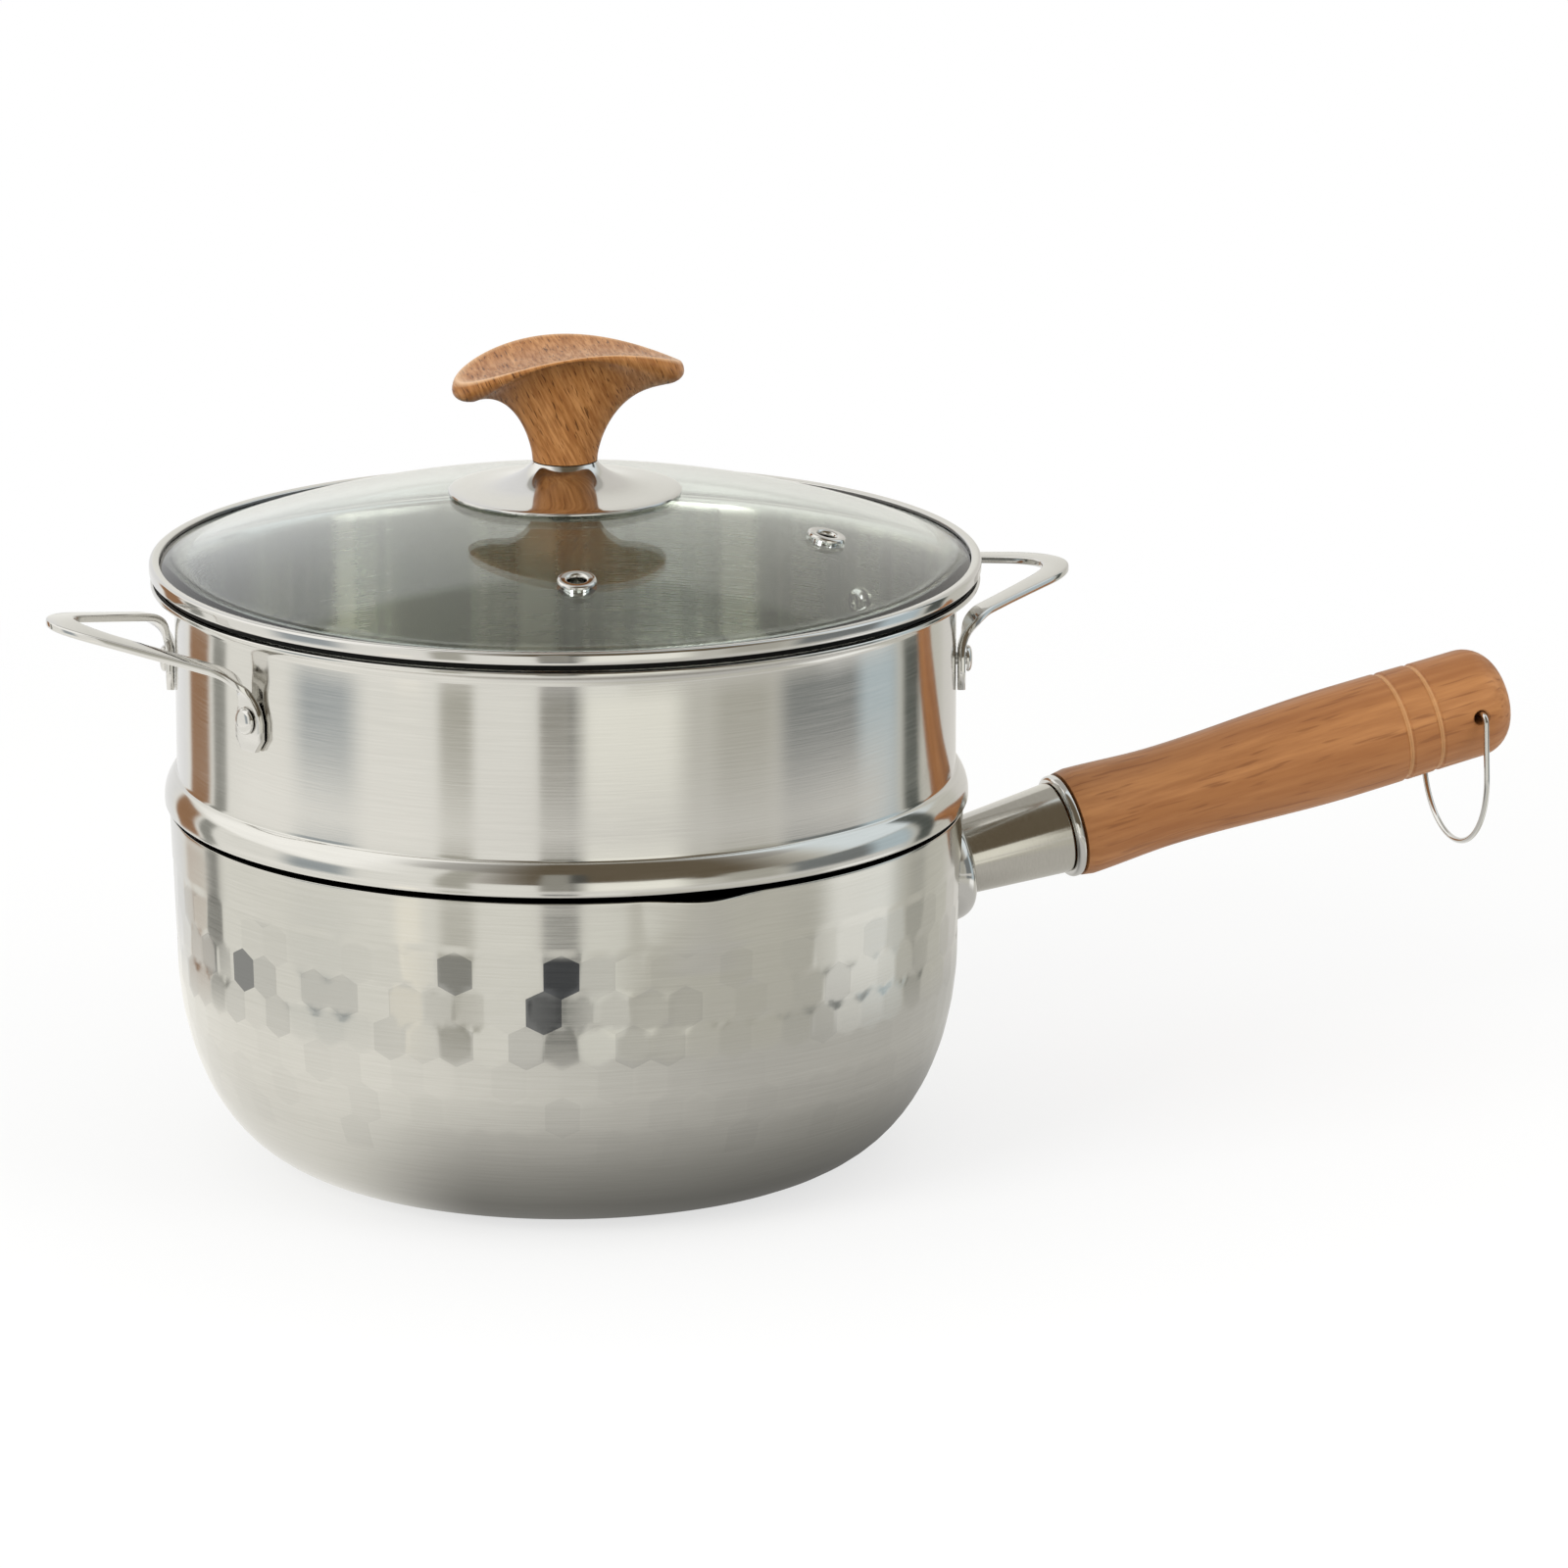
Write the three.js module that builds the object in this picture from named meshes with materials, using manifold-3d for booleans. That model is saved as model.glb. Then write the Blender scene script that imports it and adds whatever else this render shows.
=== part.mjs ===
// Hammered steel milk pan with pour spouts and a wooden grip, a steamer insert and a domed glass lid.
// Millimetres, +Z up. The origin is the centre of the pan's flat base, and +X runs along the grip.

import * as THREE from "three";
import { mergeVertices } from "three/addons/utils/BufferGeometryUtils.js";
import Module from "manifold-3d";

const wasm = await Module();
wasm.setup();

// Shared values
const FIT = 0.3; // gap between pieces that seat on each other
const MERGE_DISTANCE = 1e-4; // corners closer than this are one corner
const PAN_SIDES = 60; // facets round the pan
const ROUND_SIDES = 48; // facets round the steamer and the lid
const HANDLE_SIDES = 24; // facets round the grip, the ferrule and the knob parts
const SMALL_SIDES = 12; // facets round rivets, eyelets and bolts
const CURVE_STEPS = 3; // steps in a curved stretch of a section

// Pan
const PAN_RIM_RADIUS = 101; // outside, at the rim
const PAN_HEIGHT = 92;
const PAN_WALL = 1;
const PAN_BASE_RADIUS = 61; // flat that stands on the hob
const PAN_STRAIGHT = 34; // height of the straight wall over the round bottom
const PAN_CURVE_POWER = 2.17; // superellipse exponent of the round bottom
const PAN_CURVE_STEPS = 8;
const PAN_TAPER = 0.04; // radius lost for each millimetre below the rim
const SPOUT_HALF_WIDTH = 17; // at the rim, on both sides of the grip's plane
const SPOUT_DEPTH = 20; // how far the pressed spout runs down the wall
const SPOUT_OUT = 2.6; // how far its lip stands out of the wall
const SPOUT_DIP = 0.8; // how far its lip drops below the rim

// Stick handle: everything here is measured along the grip's own axis, from the pan's wall
const HANDLE_DROP = 27.6; // from the rim down to where the axis meets the wall
const HANDLE_RISE = 11; // degrees
const FLANGE_RADIUS = 15.5;
const FLANGE_LENGTH = 8;
const FLANGE_EDGE = 1.5; // height of the flange's straight edge
const FLANGE_ROOT = 8; // depth that is cut away by the pan's wall
const FERRULE_RADIUS = 10; // at the flange
const FERRULE_MOUTH_RADIUS = 12; // at the grip
const FERRULE_LENGTH = 27.6;
const FERRULE_WALL = 1;
const ROLL_OUT = 1.6; // how far the rolled ring stands out of the ferrule's mouth
const ROLL_LENGTH = 2.6;
const ROLL_EDGE = 0.8; // rounding of the rolled ring
const GRIP_LENGTH = 125;
const GRIP_NECK_RADIUS = 14.2;
const GRIP_WAIST_RADIUS = 13.05;
const GRIP_WAIST_AT = 27; // from the neck
const GRIP_SWELL_RADIUS = 14.7;
const GRIP_SWELL_AT = 78; // from the neck
const GRIP_END_RADIUS = 14.4;
const GRIP_END_ROUND = 9;
const GRIP_STEPS = 10;
const GROOVE_FROM_END = [32, 23]; // two turned decorative grooves
const GROOVE_WIDTH = 1.8;
const GROOVE_DEPTH = 0.7;
const TENON_END_GAP = 4.8; // from the ferrule's small end to the grip's tenon
const SCREW_ALONG = 14; // from the ferrule's small end
const SCREW_RADIUS = 1.5;
const SCREW_LENGTH = 9;
const SCREW_HEAD_RADIUS = 3;
const SCREW_HEAD_HEIGHT = 1.6;

// Hanging ring: a sprung wire bail whose two ends meet inside the grip's cross hole
const HOLE_FROM_END = 11.5;
const HOLE_PLAY = 1.25; // room round the wire in its hole
const WIRE_RADIUS = 0.75;
const WIRE_TOUCH = 0.15; // room left where the leaning wire lies at the hole's mouth
const WIRE_SIDES = 6;
const WIRE_STEPS = 52;
const WIRE_SPLIT = 0.8; // gap between the wire's two ends
const WIRE_BEND = 2.5; // length of the bends beside the grip
const RING_NEAR_GAP = 2.6; // from the grip's side to the leg on -Y
const RING_FAR_GAP = 8.3; // from the grip's side to the leg on +Y: the ring has slid to that side
const RING_DROP = 36.4; // from the cross hole's axis to the lowest wire

// Steamer insert
const STEAMER_TURN = -1; // degrees that the insert is turned in the pan
const STEAMER_SHEET = 1;
const STEAMER_RISE = 58.5; // from the pan's rim to the insert's top
const SKIRT_CLEARANCE = 3.5; // between the nested skirt and the pan's wall
const SKIRT_DEPTH = 12; // from the seat on the rim down to the floor
const FLOOR_CORNER = 6;
const LIP_OVERHANG = 1.2; // how far the lip stands out over the pan's rim
const LIP_EDGE = 0.8;
const LIP_BAND = 3; // height of the lip's upright band
const SHOULDER_HEIGHT = 8.7; // from the seat to the crease where the wall starts
const SHOULDER_ROUND = 2.5;
const WALL_STEP_IN = 2; // from the pan's rim in to the insert's wall
const CREASE_STEP = 0.5;
const FLARE_HEIGHT = 5;
const FLARE_OUT = 6; // from the wall out to the mouth
const MOUTH_ROLL = 1.4; // height of the rolled mouth
const MOUTH_EDGE = 0.4;
const SEAT_INSET = 4.4; // from the mouth in to where the lid's seat ends
const STEAM_HOLE_RADIUS = 3;
const STEAM_HOLE_SIDES = 8;
const STEAM_HOLE_RINGS = 3;
const STEAM_HOLE_PITCH = 22;
const HOLES_PER_RING = 6; // each ring has this many more than the ring inside it

// Loop handles of the steamer: flat bars bent down into riveted tabs
const LOOP_PROJECTION = 31; // beyond the mouth
const LOOP_DROP = 4.7; // from the insert's top down to the loop's tip
const LOOP_RISE = 6.4; // from the roots of the legs up to the tip
const LOOP_ROOT_ANGLE = 20; // degrees from the loop's axis to each tab
const LOOP_THICKNESS = 2;
const LOOP_LEG_WIDTH = 5;
const LOOP_TIP_WIDTH = 7;
const LOOP_TAB_WIDTH = 10;
const LOOP_TAB_LENGTH = 18.6; // from the legs' roots down to the tab's end
const LOOP_TAB_CHAMFER = 0.6; // share of the tab's width left at its end
const LOOP_BEND = 8; // length of the bend on each side of its corner
const LOOP_STANDOFF = 2; // how far the bend's corner stands off the tab
const LOOP_TIP_ROUND = 8.7;
const LOOP_STEPS = 36;
const RIVET_UP = 7.7; // from the tab's end
const RIVET_RADIUS = 1.6;
const RIVET_HEAD_RADIUS = 3.4;
const RIVET_HEAD_HEIGHT = 1.5;
const RIVET_HEAD_EDGE = 0.5;
const RIVET_CROWN_RADIUS = 1.7;

// Lid
const RIM_OVERHANG = 0.3; // beyond the insert's mouth
const RIM_GROOVE = 1.6; // open line under the rim's bead
const RIM_GROOVE_DEPTH = 0.6;
const RIM_LIP_SHEET = 1.2; // thickness of the lip over the glass
const RIM_SHEET = 0.7;
const RIM_EDGE = 0.5; // rounding of the rim's outer corners
const RIM_WALL = 1.1; // between the glass pocket and the outside
const RIM_LIP = 2.6; // width seen from above
const RIM_HOOK = 4.3; // width of the flange under the glass
const GLASS_AT_LIP = 3.6; // height of the glass's top at the rim's lip, over the insert's top
const GLASS_RISE = 19; // from there to the crown
const GLASS_THICKNESS = 3.5;
const GLASS_STEPS = 7;
const VENT_RADIUS_AT = 69; // from the lid's axis
const VENTS = { front: -106.4, side: -37.2 }; // degrees from the loop handles' axis
const EYELET_HOLE = 2.3;
const EYELET_BARREL = 3;
const EYELET_FLANGE = 4.9;
const EYELET_FLANGE_HEIGHT = 0.9;

// Knob and its fixing through the glass
const SKIRT_DISC_RADIUS = 29.5;
const SKIRT_DISC_SHEET = 0.8;
const SKIRT_DISC_HEIGHT = 6.9; // from the glass's crown to the neck
const SKIRT_WAIST = 9.5; // from the neck out to where the two slopes of the skirt meet
const SKIRT_WAIST_RISE = 1.4; // height of that place over the crown's sheet
const BOLT_RADIUS = 2.5;
const BOLT_IN_KNOB = 15;
const BOLT_HEAD_RADIUS = 4.5;
const BOLT_HEAD_HEIGHT = 3;
const BOLT_HEAD_SIDES = 6;
const GLASS_HOLE_CLEARANCE = 2; // round the bolt
const BUSH_CLEARANCE = 1.2; // inside the skirt's neck
const GASKET_RADIUS = 8.5;
const GASKET_THICKNESS = 1.5;
const WASHER_RADIUS = 9;
const WASHER_THICKNESS = 1.2;
const KNOB_TURN = -22; // degrees from the loop handles' axis
const KNOB_NECK_RADIUS = 8.2;
const KNOB_HALF_LENGTH = 30;
const KNOB_HALF_WIDTH = 18.6;
const KNOB_END_RISE = 17.4; // underside of the two ends, above the neck
const KNOB_SIDE_RISE = 28.5; // underside of the two long edges, above the neck
const KNOB_END_THICKNESS = 6;
const KNOB_SIDE_THICKNESS = 0.8;
const KNOB_EDGE_ROUND = 0.4;
const KNOB_DISH = 1.5; // hollow of the top
const KNOB_TWIST = 0.0056; // height lost for each square millimetre of length times width
const KNOB_TILT = 0.083; // height won for each millimetre towards +X
const KNOB_SPREAD_POWER = 0.78; // how early the underside spreads from the neck
const KNOB_RISE_POWER = 1.3; // how late it rises
const KNOB_UNDER_STEPS = 7;
const KNOB_TOP_SCALES = [0.8, 0.45];

// Finishes
function finish(color, roughness, metalness, opacity = 1) {
  const transparent = opacity < 1;
  return new THREE.MeshStandardMaterial({ color, roughness, metalness, opacity, transparent });
}

const polishedSteel = finish(0xd4d3ce, 0.16, 1);
const brushedSteel = finish(0xc6c5bf, 0.34, 1);
const beech = finish(0xc98a55, 0.5, 0);
const grainedWood = finish(0xb97a43, 0.3, 0);
const silicone = finish(0xcfd2d0, 0.7, 0);
const clearGlass = finish(0xdce6e3, 0.05, 0, 0.35);

const { degToRad, clamp, lerp } = THREE.MathUtils;
const DOWN = new THREE.Vector3(0, 0, -1);
const QUARTER_TURN = Math.PI / 2;

function smooth(share) {
  const t = clamp(share, 0, 1);
  return t * t * (3 - 2 * t);
}

// Keeps positions alone, joins shared corners, drops triangles of no area and turns all faces outwards
function closed(geometry) {
  const bare = geometry.clone();
  for (const name of Object.keys(bare.attributes)) {
    if (name !== "position") bare.deleteAttribute(name);
  }
  const merged = mergeVertices(bare, MERGE_DISTANCE);
  const place = merged.attributes.position;
  const corners = [new THREE.Vector3(), new THREE.Vector3(), new THREE.Vector3()];
  const kept = [];
  let volume = 0;
  for (let i = 0; i < merged.index.count; i += 3) {
    const triangle = [0, 1, 2].map((k) => merged.index.getX(i + k));
    if (new Set(triangle).size < 3) continue;
    kept.push(...triangle);
    triangle.forEach((corner, k) => corners[k].fromBufferAttribute(place, corner));
    volume += corners[0].dot(corners[1].clone().cross(corners[2]));
  }
  if (volume < 0) kept.reverse();
  merged.setIndex(kept);
  merged.clearGroups();
  return merged;
}

function toSolid(geometry) {
  const part = closed(geometry);
  const vertProperties = Float32Array.from(part.attributes.position.array);
  const triVerts = Uint32Array.from(part.index.array);
  return new wasm.Manifold(new wasm.Mesh({ numProp: 3, vertProperties, triVerts }));
}

function toGeometry(solid) {
  const mesh = solid.getMesh();
  const geometry = new THREE.BufferGeometry();
  geometry.setAttribute("position", new THREE.BufferAttribute(mesh.vertProperties, 3));
  geometry.setIndex(new THREE.BufferAttribute(mesh.triVerts, 1));
  return geometry;
}

function cutAway(geometry, tools) {
  const uncut = toSolid(geometry);
  return toGeometry(tools.reduce((body, tool) => body.subtract(toSolid(tool)), uncut));
}

// A round piece about Z from radius and height points. A section off the axis is closed on itself.
function turned(points, sides) {
  const section = points.map(([radius, height]) => new THREE.Vector2(radius, height));
  if (section[0].x > 0) section.push(section[0].clone());
  return closed(new THREE.LatheGeometry(section, sides).rotateX(QUARTER_TURN));
}

function turnedPath(path, sides) {
  const points = path.getPoints(CURVE_STEPS).map((point) => [point.x, point.y]);
  return turned(points, sides);
}

// A cylinder along Z between two heights
function rod(radius, from, to, sides) {
  return new THREE.CylinderGeometry(radius, radius, to - from, sides)
    .rotateX(QUARTER_TURN)
    .translate(0, 0, (from + to) / 2);
}

// A flat section carried along stations: a point, two directions and a stretch of the width at each
function swept(section, stations, curveSegments) {
  const steps = stations.length - 1;
  const settings = { depth: steps, steps, bevelEnabled: false, curveSegments };
  const geometry = new THREE.ExtrudeGeometry(section, settings);
  const place = geometry.attributes.position;
  for (let i = 0; i < place.count; i++) {
    const station = stations[Math.round(place.getZ(i))];
    const corner = station.point
      .clone()
      .addScaledVector(station.across, place.getX(i) * station.stretch)
      .addScaledVector(station.through, place.getY(i));
    place.setXYZ(i, corner.x, corner.y, corner.z);
  }
  return closed(geometry);
}

function addPiece(group, name, geometry, material) {
  const mesh = new THREE.Mesh(geometry, material);
  mesh.name = name;
  group.add(mesh);
  return mesh;
}

// Pan body

const panCurveHeight = PAN_HEIGHT - PAN_STRAIGHT;

function panRadius(height) {
  return PAN_RIM_RADIUS - (PAN_HEIGHT - height) * PAN_TAPER;
}

// The pan's outline from the base's edge up to the rim, moved outwards by a distance
function panOutline(outset) {
  const wide = panRadius(panCurveHeight) + outset - PAN_BASE_RADIUS;
  const tall = panCurveHeight + outset;
  const points = [];
  for (let i = 0; i <= PAN_CURVE_STEPS; i++) {
    const turn = (i / PAN_CURVE_STEPS) * QUARTER_TURN;
    const radius = PAN_BASE_RADIUS + wide * Math.sin(turn) ** (2 / PAN_CURVE_POWER);
    const height = panCurveHeight - tall * Math.max(0, Math.cos(turn)) ** (2 / PAN_CURVE_POWER);
    points.push([radius, height]);
  }
  const spoutFoot = PAN_HEIGHT - SPOUT_DEPTH;
  points.push([panRadius(spoutFoot) + outset, spoutFoot]);
  points.push([PAN_RIM_RADIUS + outset, PAN_HEIGHT]);
  return points;
}

// Presses a spout into the rim on +Y and on -Y
function pressSpouts(geometry) {
  const place = geometry.attributes.position;
  for (let i = 0; i < place.count; i++) {
    const [x, y, z] = [place.getX(i), place.getY(i), place.getZ(i)];
    const rise = clamp(1 - (PAN_HEIGHT - z) / SPOUT_DEPTH, 0, 1);
    const swell = rise * smooth(1 - Math.abs(x) / SPOUT_HALF_WIDTH);
    const radius = Math.hypot(x, y);
    const scale = swell > 0 ? (radius + SPOUT_OUT * swell) / radius : 1;
    place.setXYZ(i, x * scale, y * scale, z - SPOUT_DIP * swell);
  }
  return geometry;
}

function panBody() {
  const outside = panOutline(0);
  const inside = panOutline(-PAN_WALL).reverse();
  const section = [[0, 0], ...outside, ...inside, [0, PAN_WALL]];
  return pressSpouts(turned(section, PAN_SIDES));
}

// Stick handle, built about its own Z axis and then laid along +X

const handleHeight = PAN_HEIGHT - HANDLE_DROP;
const handleRoot = new THREE.Vector3(panRadius(handleHeight), 0, handleHeight);
const handleTurn = QUARTER_TURN - degToRad(HANDLE_RISE);
const handlePlace = new THREE.Matrix4().makeRotationY(handleTurn).setPosition(handleRoot);

const ferruleStart = FLANGE_LENGTH + FIT;
const ferruleEnd = ferruleStart + FERRULE_LENGTH;
const rollRadius = FERRULE_MOUTH_RADIUS + ROLL_OUT;
const rollStart = ferruleEnd + FIT;
const rollEnd = rollStart + ROLL_LENGTH;
const gripStart = rollEnd + FIT;
const gripEnd = gripStart + GRIP_LENGTH;
const holeAlong = gripEnd - HOLE_FROM_END;
const holeRadius = WIRE_RADIUS + HOLE_PLAY;
const screwAlong = ferruleStart + SCREW_ALONG;

function ferruleRadius(along) {
  return lerp(FERRULE_RADIUS, FERRULE_MOUTH_RADIUS, (along - ferruleStart) / FERRULE_LENGTH);
}

function tenonRadius(along) {
  return ferruleRadius(along) * Math.cos(Math.PI / HANDLE_SIDES) - FERRULE_WALL - FIT;
}

function handleFlange() {
  const path = new THREE.Path();
  path.moveTo(0, -FLANGE_ROOT);
  path.lineTo(FLANGE_RADIUS, -FLANGE_ROOT);
  path.lineTo(FLANGE_RADIUS, FLANGE_EDGE);
  path.quadraticCurveTo(FLANGE_RADIUS, FLANGE_LENGTH, FERRULE_RADIUS, FLANGE_LENGTH);
  path.lineTo(0, FLANGE_LENGTH);
  const outline = panOutline(FIT);
  const base = outline[0][1];
  const top = outline[outline.length - 1][1];
  const envelope = turned([[0, base], ...outline, [0, top]], PAN_SIDES);
  envelope.applyMatrix4(handlePlace.clone().invert());
  return cutAway(turnedPath(path, HANDLE_SIDES), [envelope]);
}

// The screw's axis points along +Y
function atScrew(geometry) {
  return geometry.rotateX(-QUARTER_TURN).translate(0, 0, screwAlong);
}

function screwTool(radius, from, to) {
  return atScrew(rod(radius, from, to, SMALL_SIDES));
}

const screwSeat = ferruleRadius(screwAlong) + FIT;
const screwTip = screwSeat - SCREW_LENGTH;

function handleFerrule() {
  const section = [
    [FERRULE_RADIUS - FERRULE_WALL, ferruleStart],
    [FERRULE_RADIUS, ferruleStart],
    [FERRULE_MOUTH_RADIUS, ferruleEnd],
    [FERRULE_MOUTH_RADIUS - FERRULE_WALL, ferruleEnd],
  ];
  const screwHole = screwTool(SCREW_RADIUS + FIT, 0, screwSeat + SCREW_HEAD_HEIGHT);
  return cutAway(turned(section, HANDLE_SIDES), [screwHole]);
}

function ferruleRing() {
  const bore = tenonRadius(ferruleEnd) + 2 * FIT;
  const path = new THREE.Path();
  path.moveTo(bore, rollStart);
  path.lineTo(rollRadius - ROLL_EDGE, rollStart);
  path.quadraticCurveTo(rollRadius, rollStart, rollRadius, rollStart + ROLL_EDGE);
  path.lineTo(rollRadius, rollEnd - ROLL_EDGE);
  path.quadraticCurveTo(rollRadius, rollEnd, rollRadius - ROLL_EDGE, rollEnd);
  path.lineTo(bore, rollEnd);
  return turnedPath(path, HANDLE_SIDES);
}

// Radius of the turned grip at a distance from its neck
function gripRadius(along) {
  if (along < GRIP_WAIST_AT) {
    return lerp(GRIP_NECK_RADIUS, GRIP_WAIST_RADIUS, smooth(along / GRIP_WAIST_AT));
  }
  if (along < GRIP_SWELL_AT) {
    const share = (along - GRIP_WAIST_AT) / (GRIP_SWELL_AT - GRIP_WAIST_AT);
    return lerp(GRIP_WAIST_RADIUS, GRIP_SWELL_RADIUS, smooth(share));
  }
  const share = (along - GRIP_SWELL_AT) / (GRIP_LENGTH - GRIP_END_ROUND - GRIP_SWELL_AT);
  return lerp(GRIP_SWELL_RADIUS, GRIP_END_RADIUS, smooth(share));
}

function handleGrip() {
  const straight = GRIP_LENGTH - GRIP_END_ROUND;
  const stations = [];
  for (let i = 0; i <= GRIP_STEPS; i++) stations.push({ along: (i / GRIP_STEPS) * straight, sunk: 0 });
  for (const fromEnd of GROOVE_FROM_END) {
    const middle = GRIP_LENGTH - fromEnd;
    const clear = (station) => Math.abs(station.along - middle) > GROOVE_WIDTH;
    stations.splice(0, stations.length, ...stations.filter(clear));
    stations.push({ along: middle - GROOVE_WIDTH / 2, sunk: 0 });
    stations.push({ along: middle, sunk: GROOVE_DEPTH });
    stations.push({ along: middle + GROOVE_WIDTH / 2, sunk: 0 });
  }
  stations.sort((a, b) => a.along - b.along);
  const tenonStart = ferruleStart + TENON_END_GAP;
  const tenonMouth = tenonRadius(ferruleEnd);
  const section = [[0, tenonStart], [tenonRadius(tenonStart), tenonStart]];
  section.push([tenonMouth, ferruleEnd], [tenonMouth, gripStart]);
  for (const { along, sunk } of stations) section.push([gripRadius(along) - sunk, gripStart + along]);
  const roundFrom = gripRadius(straight) - GRIP_END_ROUND;
  const end = new THREE.Path();
  end.absarc(roundFrom, gripStart + straight, GRIP_END_ROUND, 0, QUARTER_TURN);
  for (const point of end.getPoints(CURVE_STEPS).slice(1)) section.push([point.x, point.y]);
  section.push([0, gripEnd]);
  const crossHole = rod(holeRadius, -GRIP_SWELL_RADIUS * 2, GRIP_SWELL_RADIUS * 2, SMALL_SIDES)
    .rotateX(QUARTER_TURN)
    .translate(0, 0, holeAlong);
  const screwHole = screwTool(SCREW_RADIUS + FIT, screwTip - FIT, screwSeat);
  return cutAway(turned(section, HANDLE_SIDES), [crossHole, screwHole]);
}

function ferruleScrew() {
  const section = [
    [0, screwTip],
    [SCREW_RADIUS, screwTip + SCREW_RADIUS],
    [SCREW_RADIUS, screwSeat],
    [SCREW_HEAD_RADIUS, screwSeat],
    [SCREW_HEAD_RADIUS - SCREW_HEAD_HEIGHT / 2, screwSeat + SCREW_HEAD_HEIGHT],
    [0, screwSeat + SCREW_HEAD_HEIGHT],
  ];
  return atScrew(turned(section, SMALL_SIDES));
}

// Hanging ring, drawn in the YZ plane about the cross hole's centre

const gripSide = gripRadius(GRIP_LENGTH - HOLE_FROM_END);
const holeFlat = holeRadius * Math.cos(Math.PI / SMALL_SIDES);
const ringTilt = Math.atan((holeFlat - WIRE_RADIUS - WIRE_TOUCH) / gripSide);

function hangingRing() {
  const near = -(gripSide + RING_NEAR_GAP);
  const far = gripSide + RING_FAR_GAP;
  const bow = (far - near) / 2;
  const bowHeight = bow - RING_DROP;
  const path = new THREE.Path();
  path.moveTo(WIRE_SPLIT / 2, 0);
  path.lineTo(far - WIRE_BEND, 0);
  path.quadraticCurveTo(far, 0, far, -WIRE_BEND);
  path.lineTo(far, bowHeight);
  path.absarc((near + far) / 2, bowHeight, bow, 0, Math.PI, true);
  path.lineTo(near, -WIRE_BEND);
  path.quadraticCurveTo(near, 0, near + WIRE_BEND, 0);
  path.lineTo(-WIRE_SPLIT / 2, 0);
  const through = new THREE.Vector3(1, 0, 0);
  const stations = [];
  for (let i = 0; i <= WIRE_STEPS; i++) {
    const point = path.getPointAt(i / WIRE_STEPS);
    const tangent = path.getTangentAt(i / WIRE_STEPS);
    const along = new THREE.Vector3(0, tangent.x, tangent.y);
    const across = new THREE.Vector3().crossVectors(through, along);
    stations.push({ point: new THREE.Vector3(0, point.x, point.y), across, through, stretch: 1 });
  }
  const wire = new THREE.Shape().absarc(0, 0, WIRE_RADIUS, 0, 2 * Math.PI);
  return swept(wire, stations, WIRE_SIDES / 2);
}

// Steamer body

const steamerSeat = PAN_HEIGHT + FIT;
const steamerTop = PAN_HEIGHT + STEAMER_RISE;
const floorBottom = steamerSeat - SKIRT_DEPTH;
const wallRadius = PAN_RIM_RADIUS - WALL_STEP_IN;
const mouthRadius = wallRadius + FLARE_OUT;
const flatOfWall = Math.cos(Math.PI / ROUND_SIDES); // a facet's middle, as a share of its corner's radius

function steamerShell() {
  const skirt = PAN_RIM_RADIUS - PAN_WALL - SKIRT_CLEARANCE;
  const lip = PAN_RIM_RADIUS + LIP_OVERHANG;
  const crease = steamerSeat + SHOULDER_HEIGHT;
  const flare = steamerTop - FLARE_HEIGHT;
  const rollBottom = steamerTop - MOUTH_ROLL;
  const floorTop = floorBottom + STEAMER_SHEET;
  const inside = (radius) => radius - STEAMER_SHEET;
  const path = new THREE.Path();
  path.moveTo(0, floorBottom);
  path.lineTo(skirt - FLOOR_CORNER, floorBottom);
  path.quadraticCurveTo(skirt, floorBottom, skirt, floorBottom + FLOOR_CORNER);
  path.lineTo(skirt, steamerSeat);
  path.lineTo(lip - LIP_EDGE, steamerSeat);
  path.lineTo(lip, steamerSeat + LIP_EDGE);
  path.lineTo(lip, steamerSeat + LIP_BAND);
  path.quadraticCurveTo(lip, crease - SHOULDER_ROUND, wallRadius + CREASE_STEP, crease);
  path.lineTo(wallRadius, crease + CREASE_STEP);
  path.lineTo(wallRadius, flare);
  path.quadraticCurveTo(wallRadius, rollBottom, mouthRadius - MOUTH_ROLL, rollBottom);
  path.lineTo(mouthRadius, rollBottom + MOUTH_EDGE);
  path.lineTo(mouthRadius, steamerTop - MOUTH_EDGE);
  path.lineTo(mouthRadius - MOUTH_EDGE, steamerTop);
  path.lineTo(mouthRadius - SEAT_INSET, steamerTop);
  path.quadraticCurveTo(inside(wallRadius), steamerTop, inside(wallRadius), flare);
  path.lineTo(inside(wallRadius), crease + CREASE_STEP);
  path.quadraticCurveTo(inside(lip), crease - SHOULDER_ROUND, inside(lip), steamerSeat + LIP_BAND);
  path.lineTo(inside(lip), steamerSeat + STEAMER_SHEET);
  path.lineTo(inside(skirt), steamerSeat + STEAMER_SHEET);
  path.lineTo(inside(skirt), floorBottom + FLOOR_CORNER);
  path.quadraticCurveTo(inside(skirt), floorTop, skirt - FLOOR_CORNER, floorTop);
  path.lineTo(0, floorTop);
  return turnedPath(path, ROUND_SIDES);
}

function steamHoles() {
  const above = floorBottom + STEAMER_SHEET + FIT;
  const hole = () => rod(STEAM_HOLE_RADIUS, floorBottom - FIT, above, STEAM_HOLE_SIDES);
  const tools = [hole()];
  for (let ring = 1; ring <= STEAM_HOLE_RINGS; ring++) {
    const count = HOLES_PER_RING * ring;
    for (let i = 0; i < count; i++) {
      tools.push(hole().translate(STEAM_HOLE_PITCH * ring, 0, 0).rotateZ((i / count) * 2 * Math.PI));
    }
  }
  return tools;
}

// Loop handles and their rivets, about an axis along +X

const loopTipHeight = steamerTop - LOOP_DROP;
const loopRootHeight = loopTipHeight - LOOP_RISE;
const tabBottom = loopRootHeight - LOOP_TAB_LENGTH;
const rivetHeight = tabBottom + RIVET_UP;
const tabInside = wallRadius + FIT;

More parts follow.
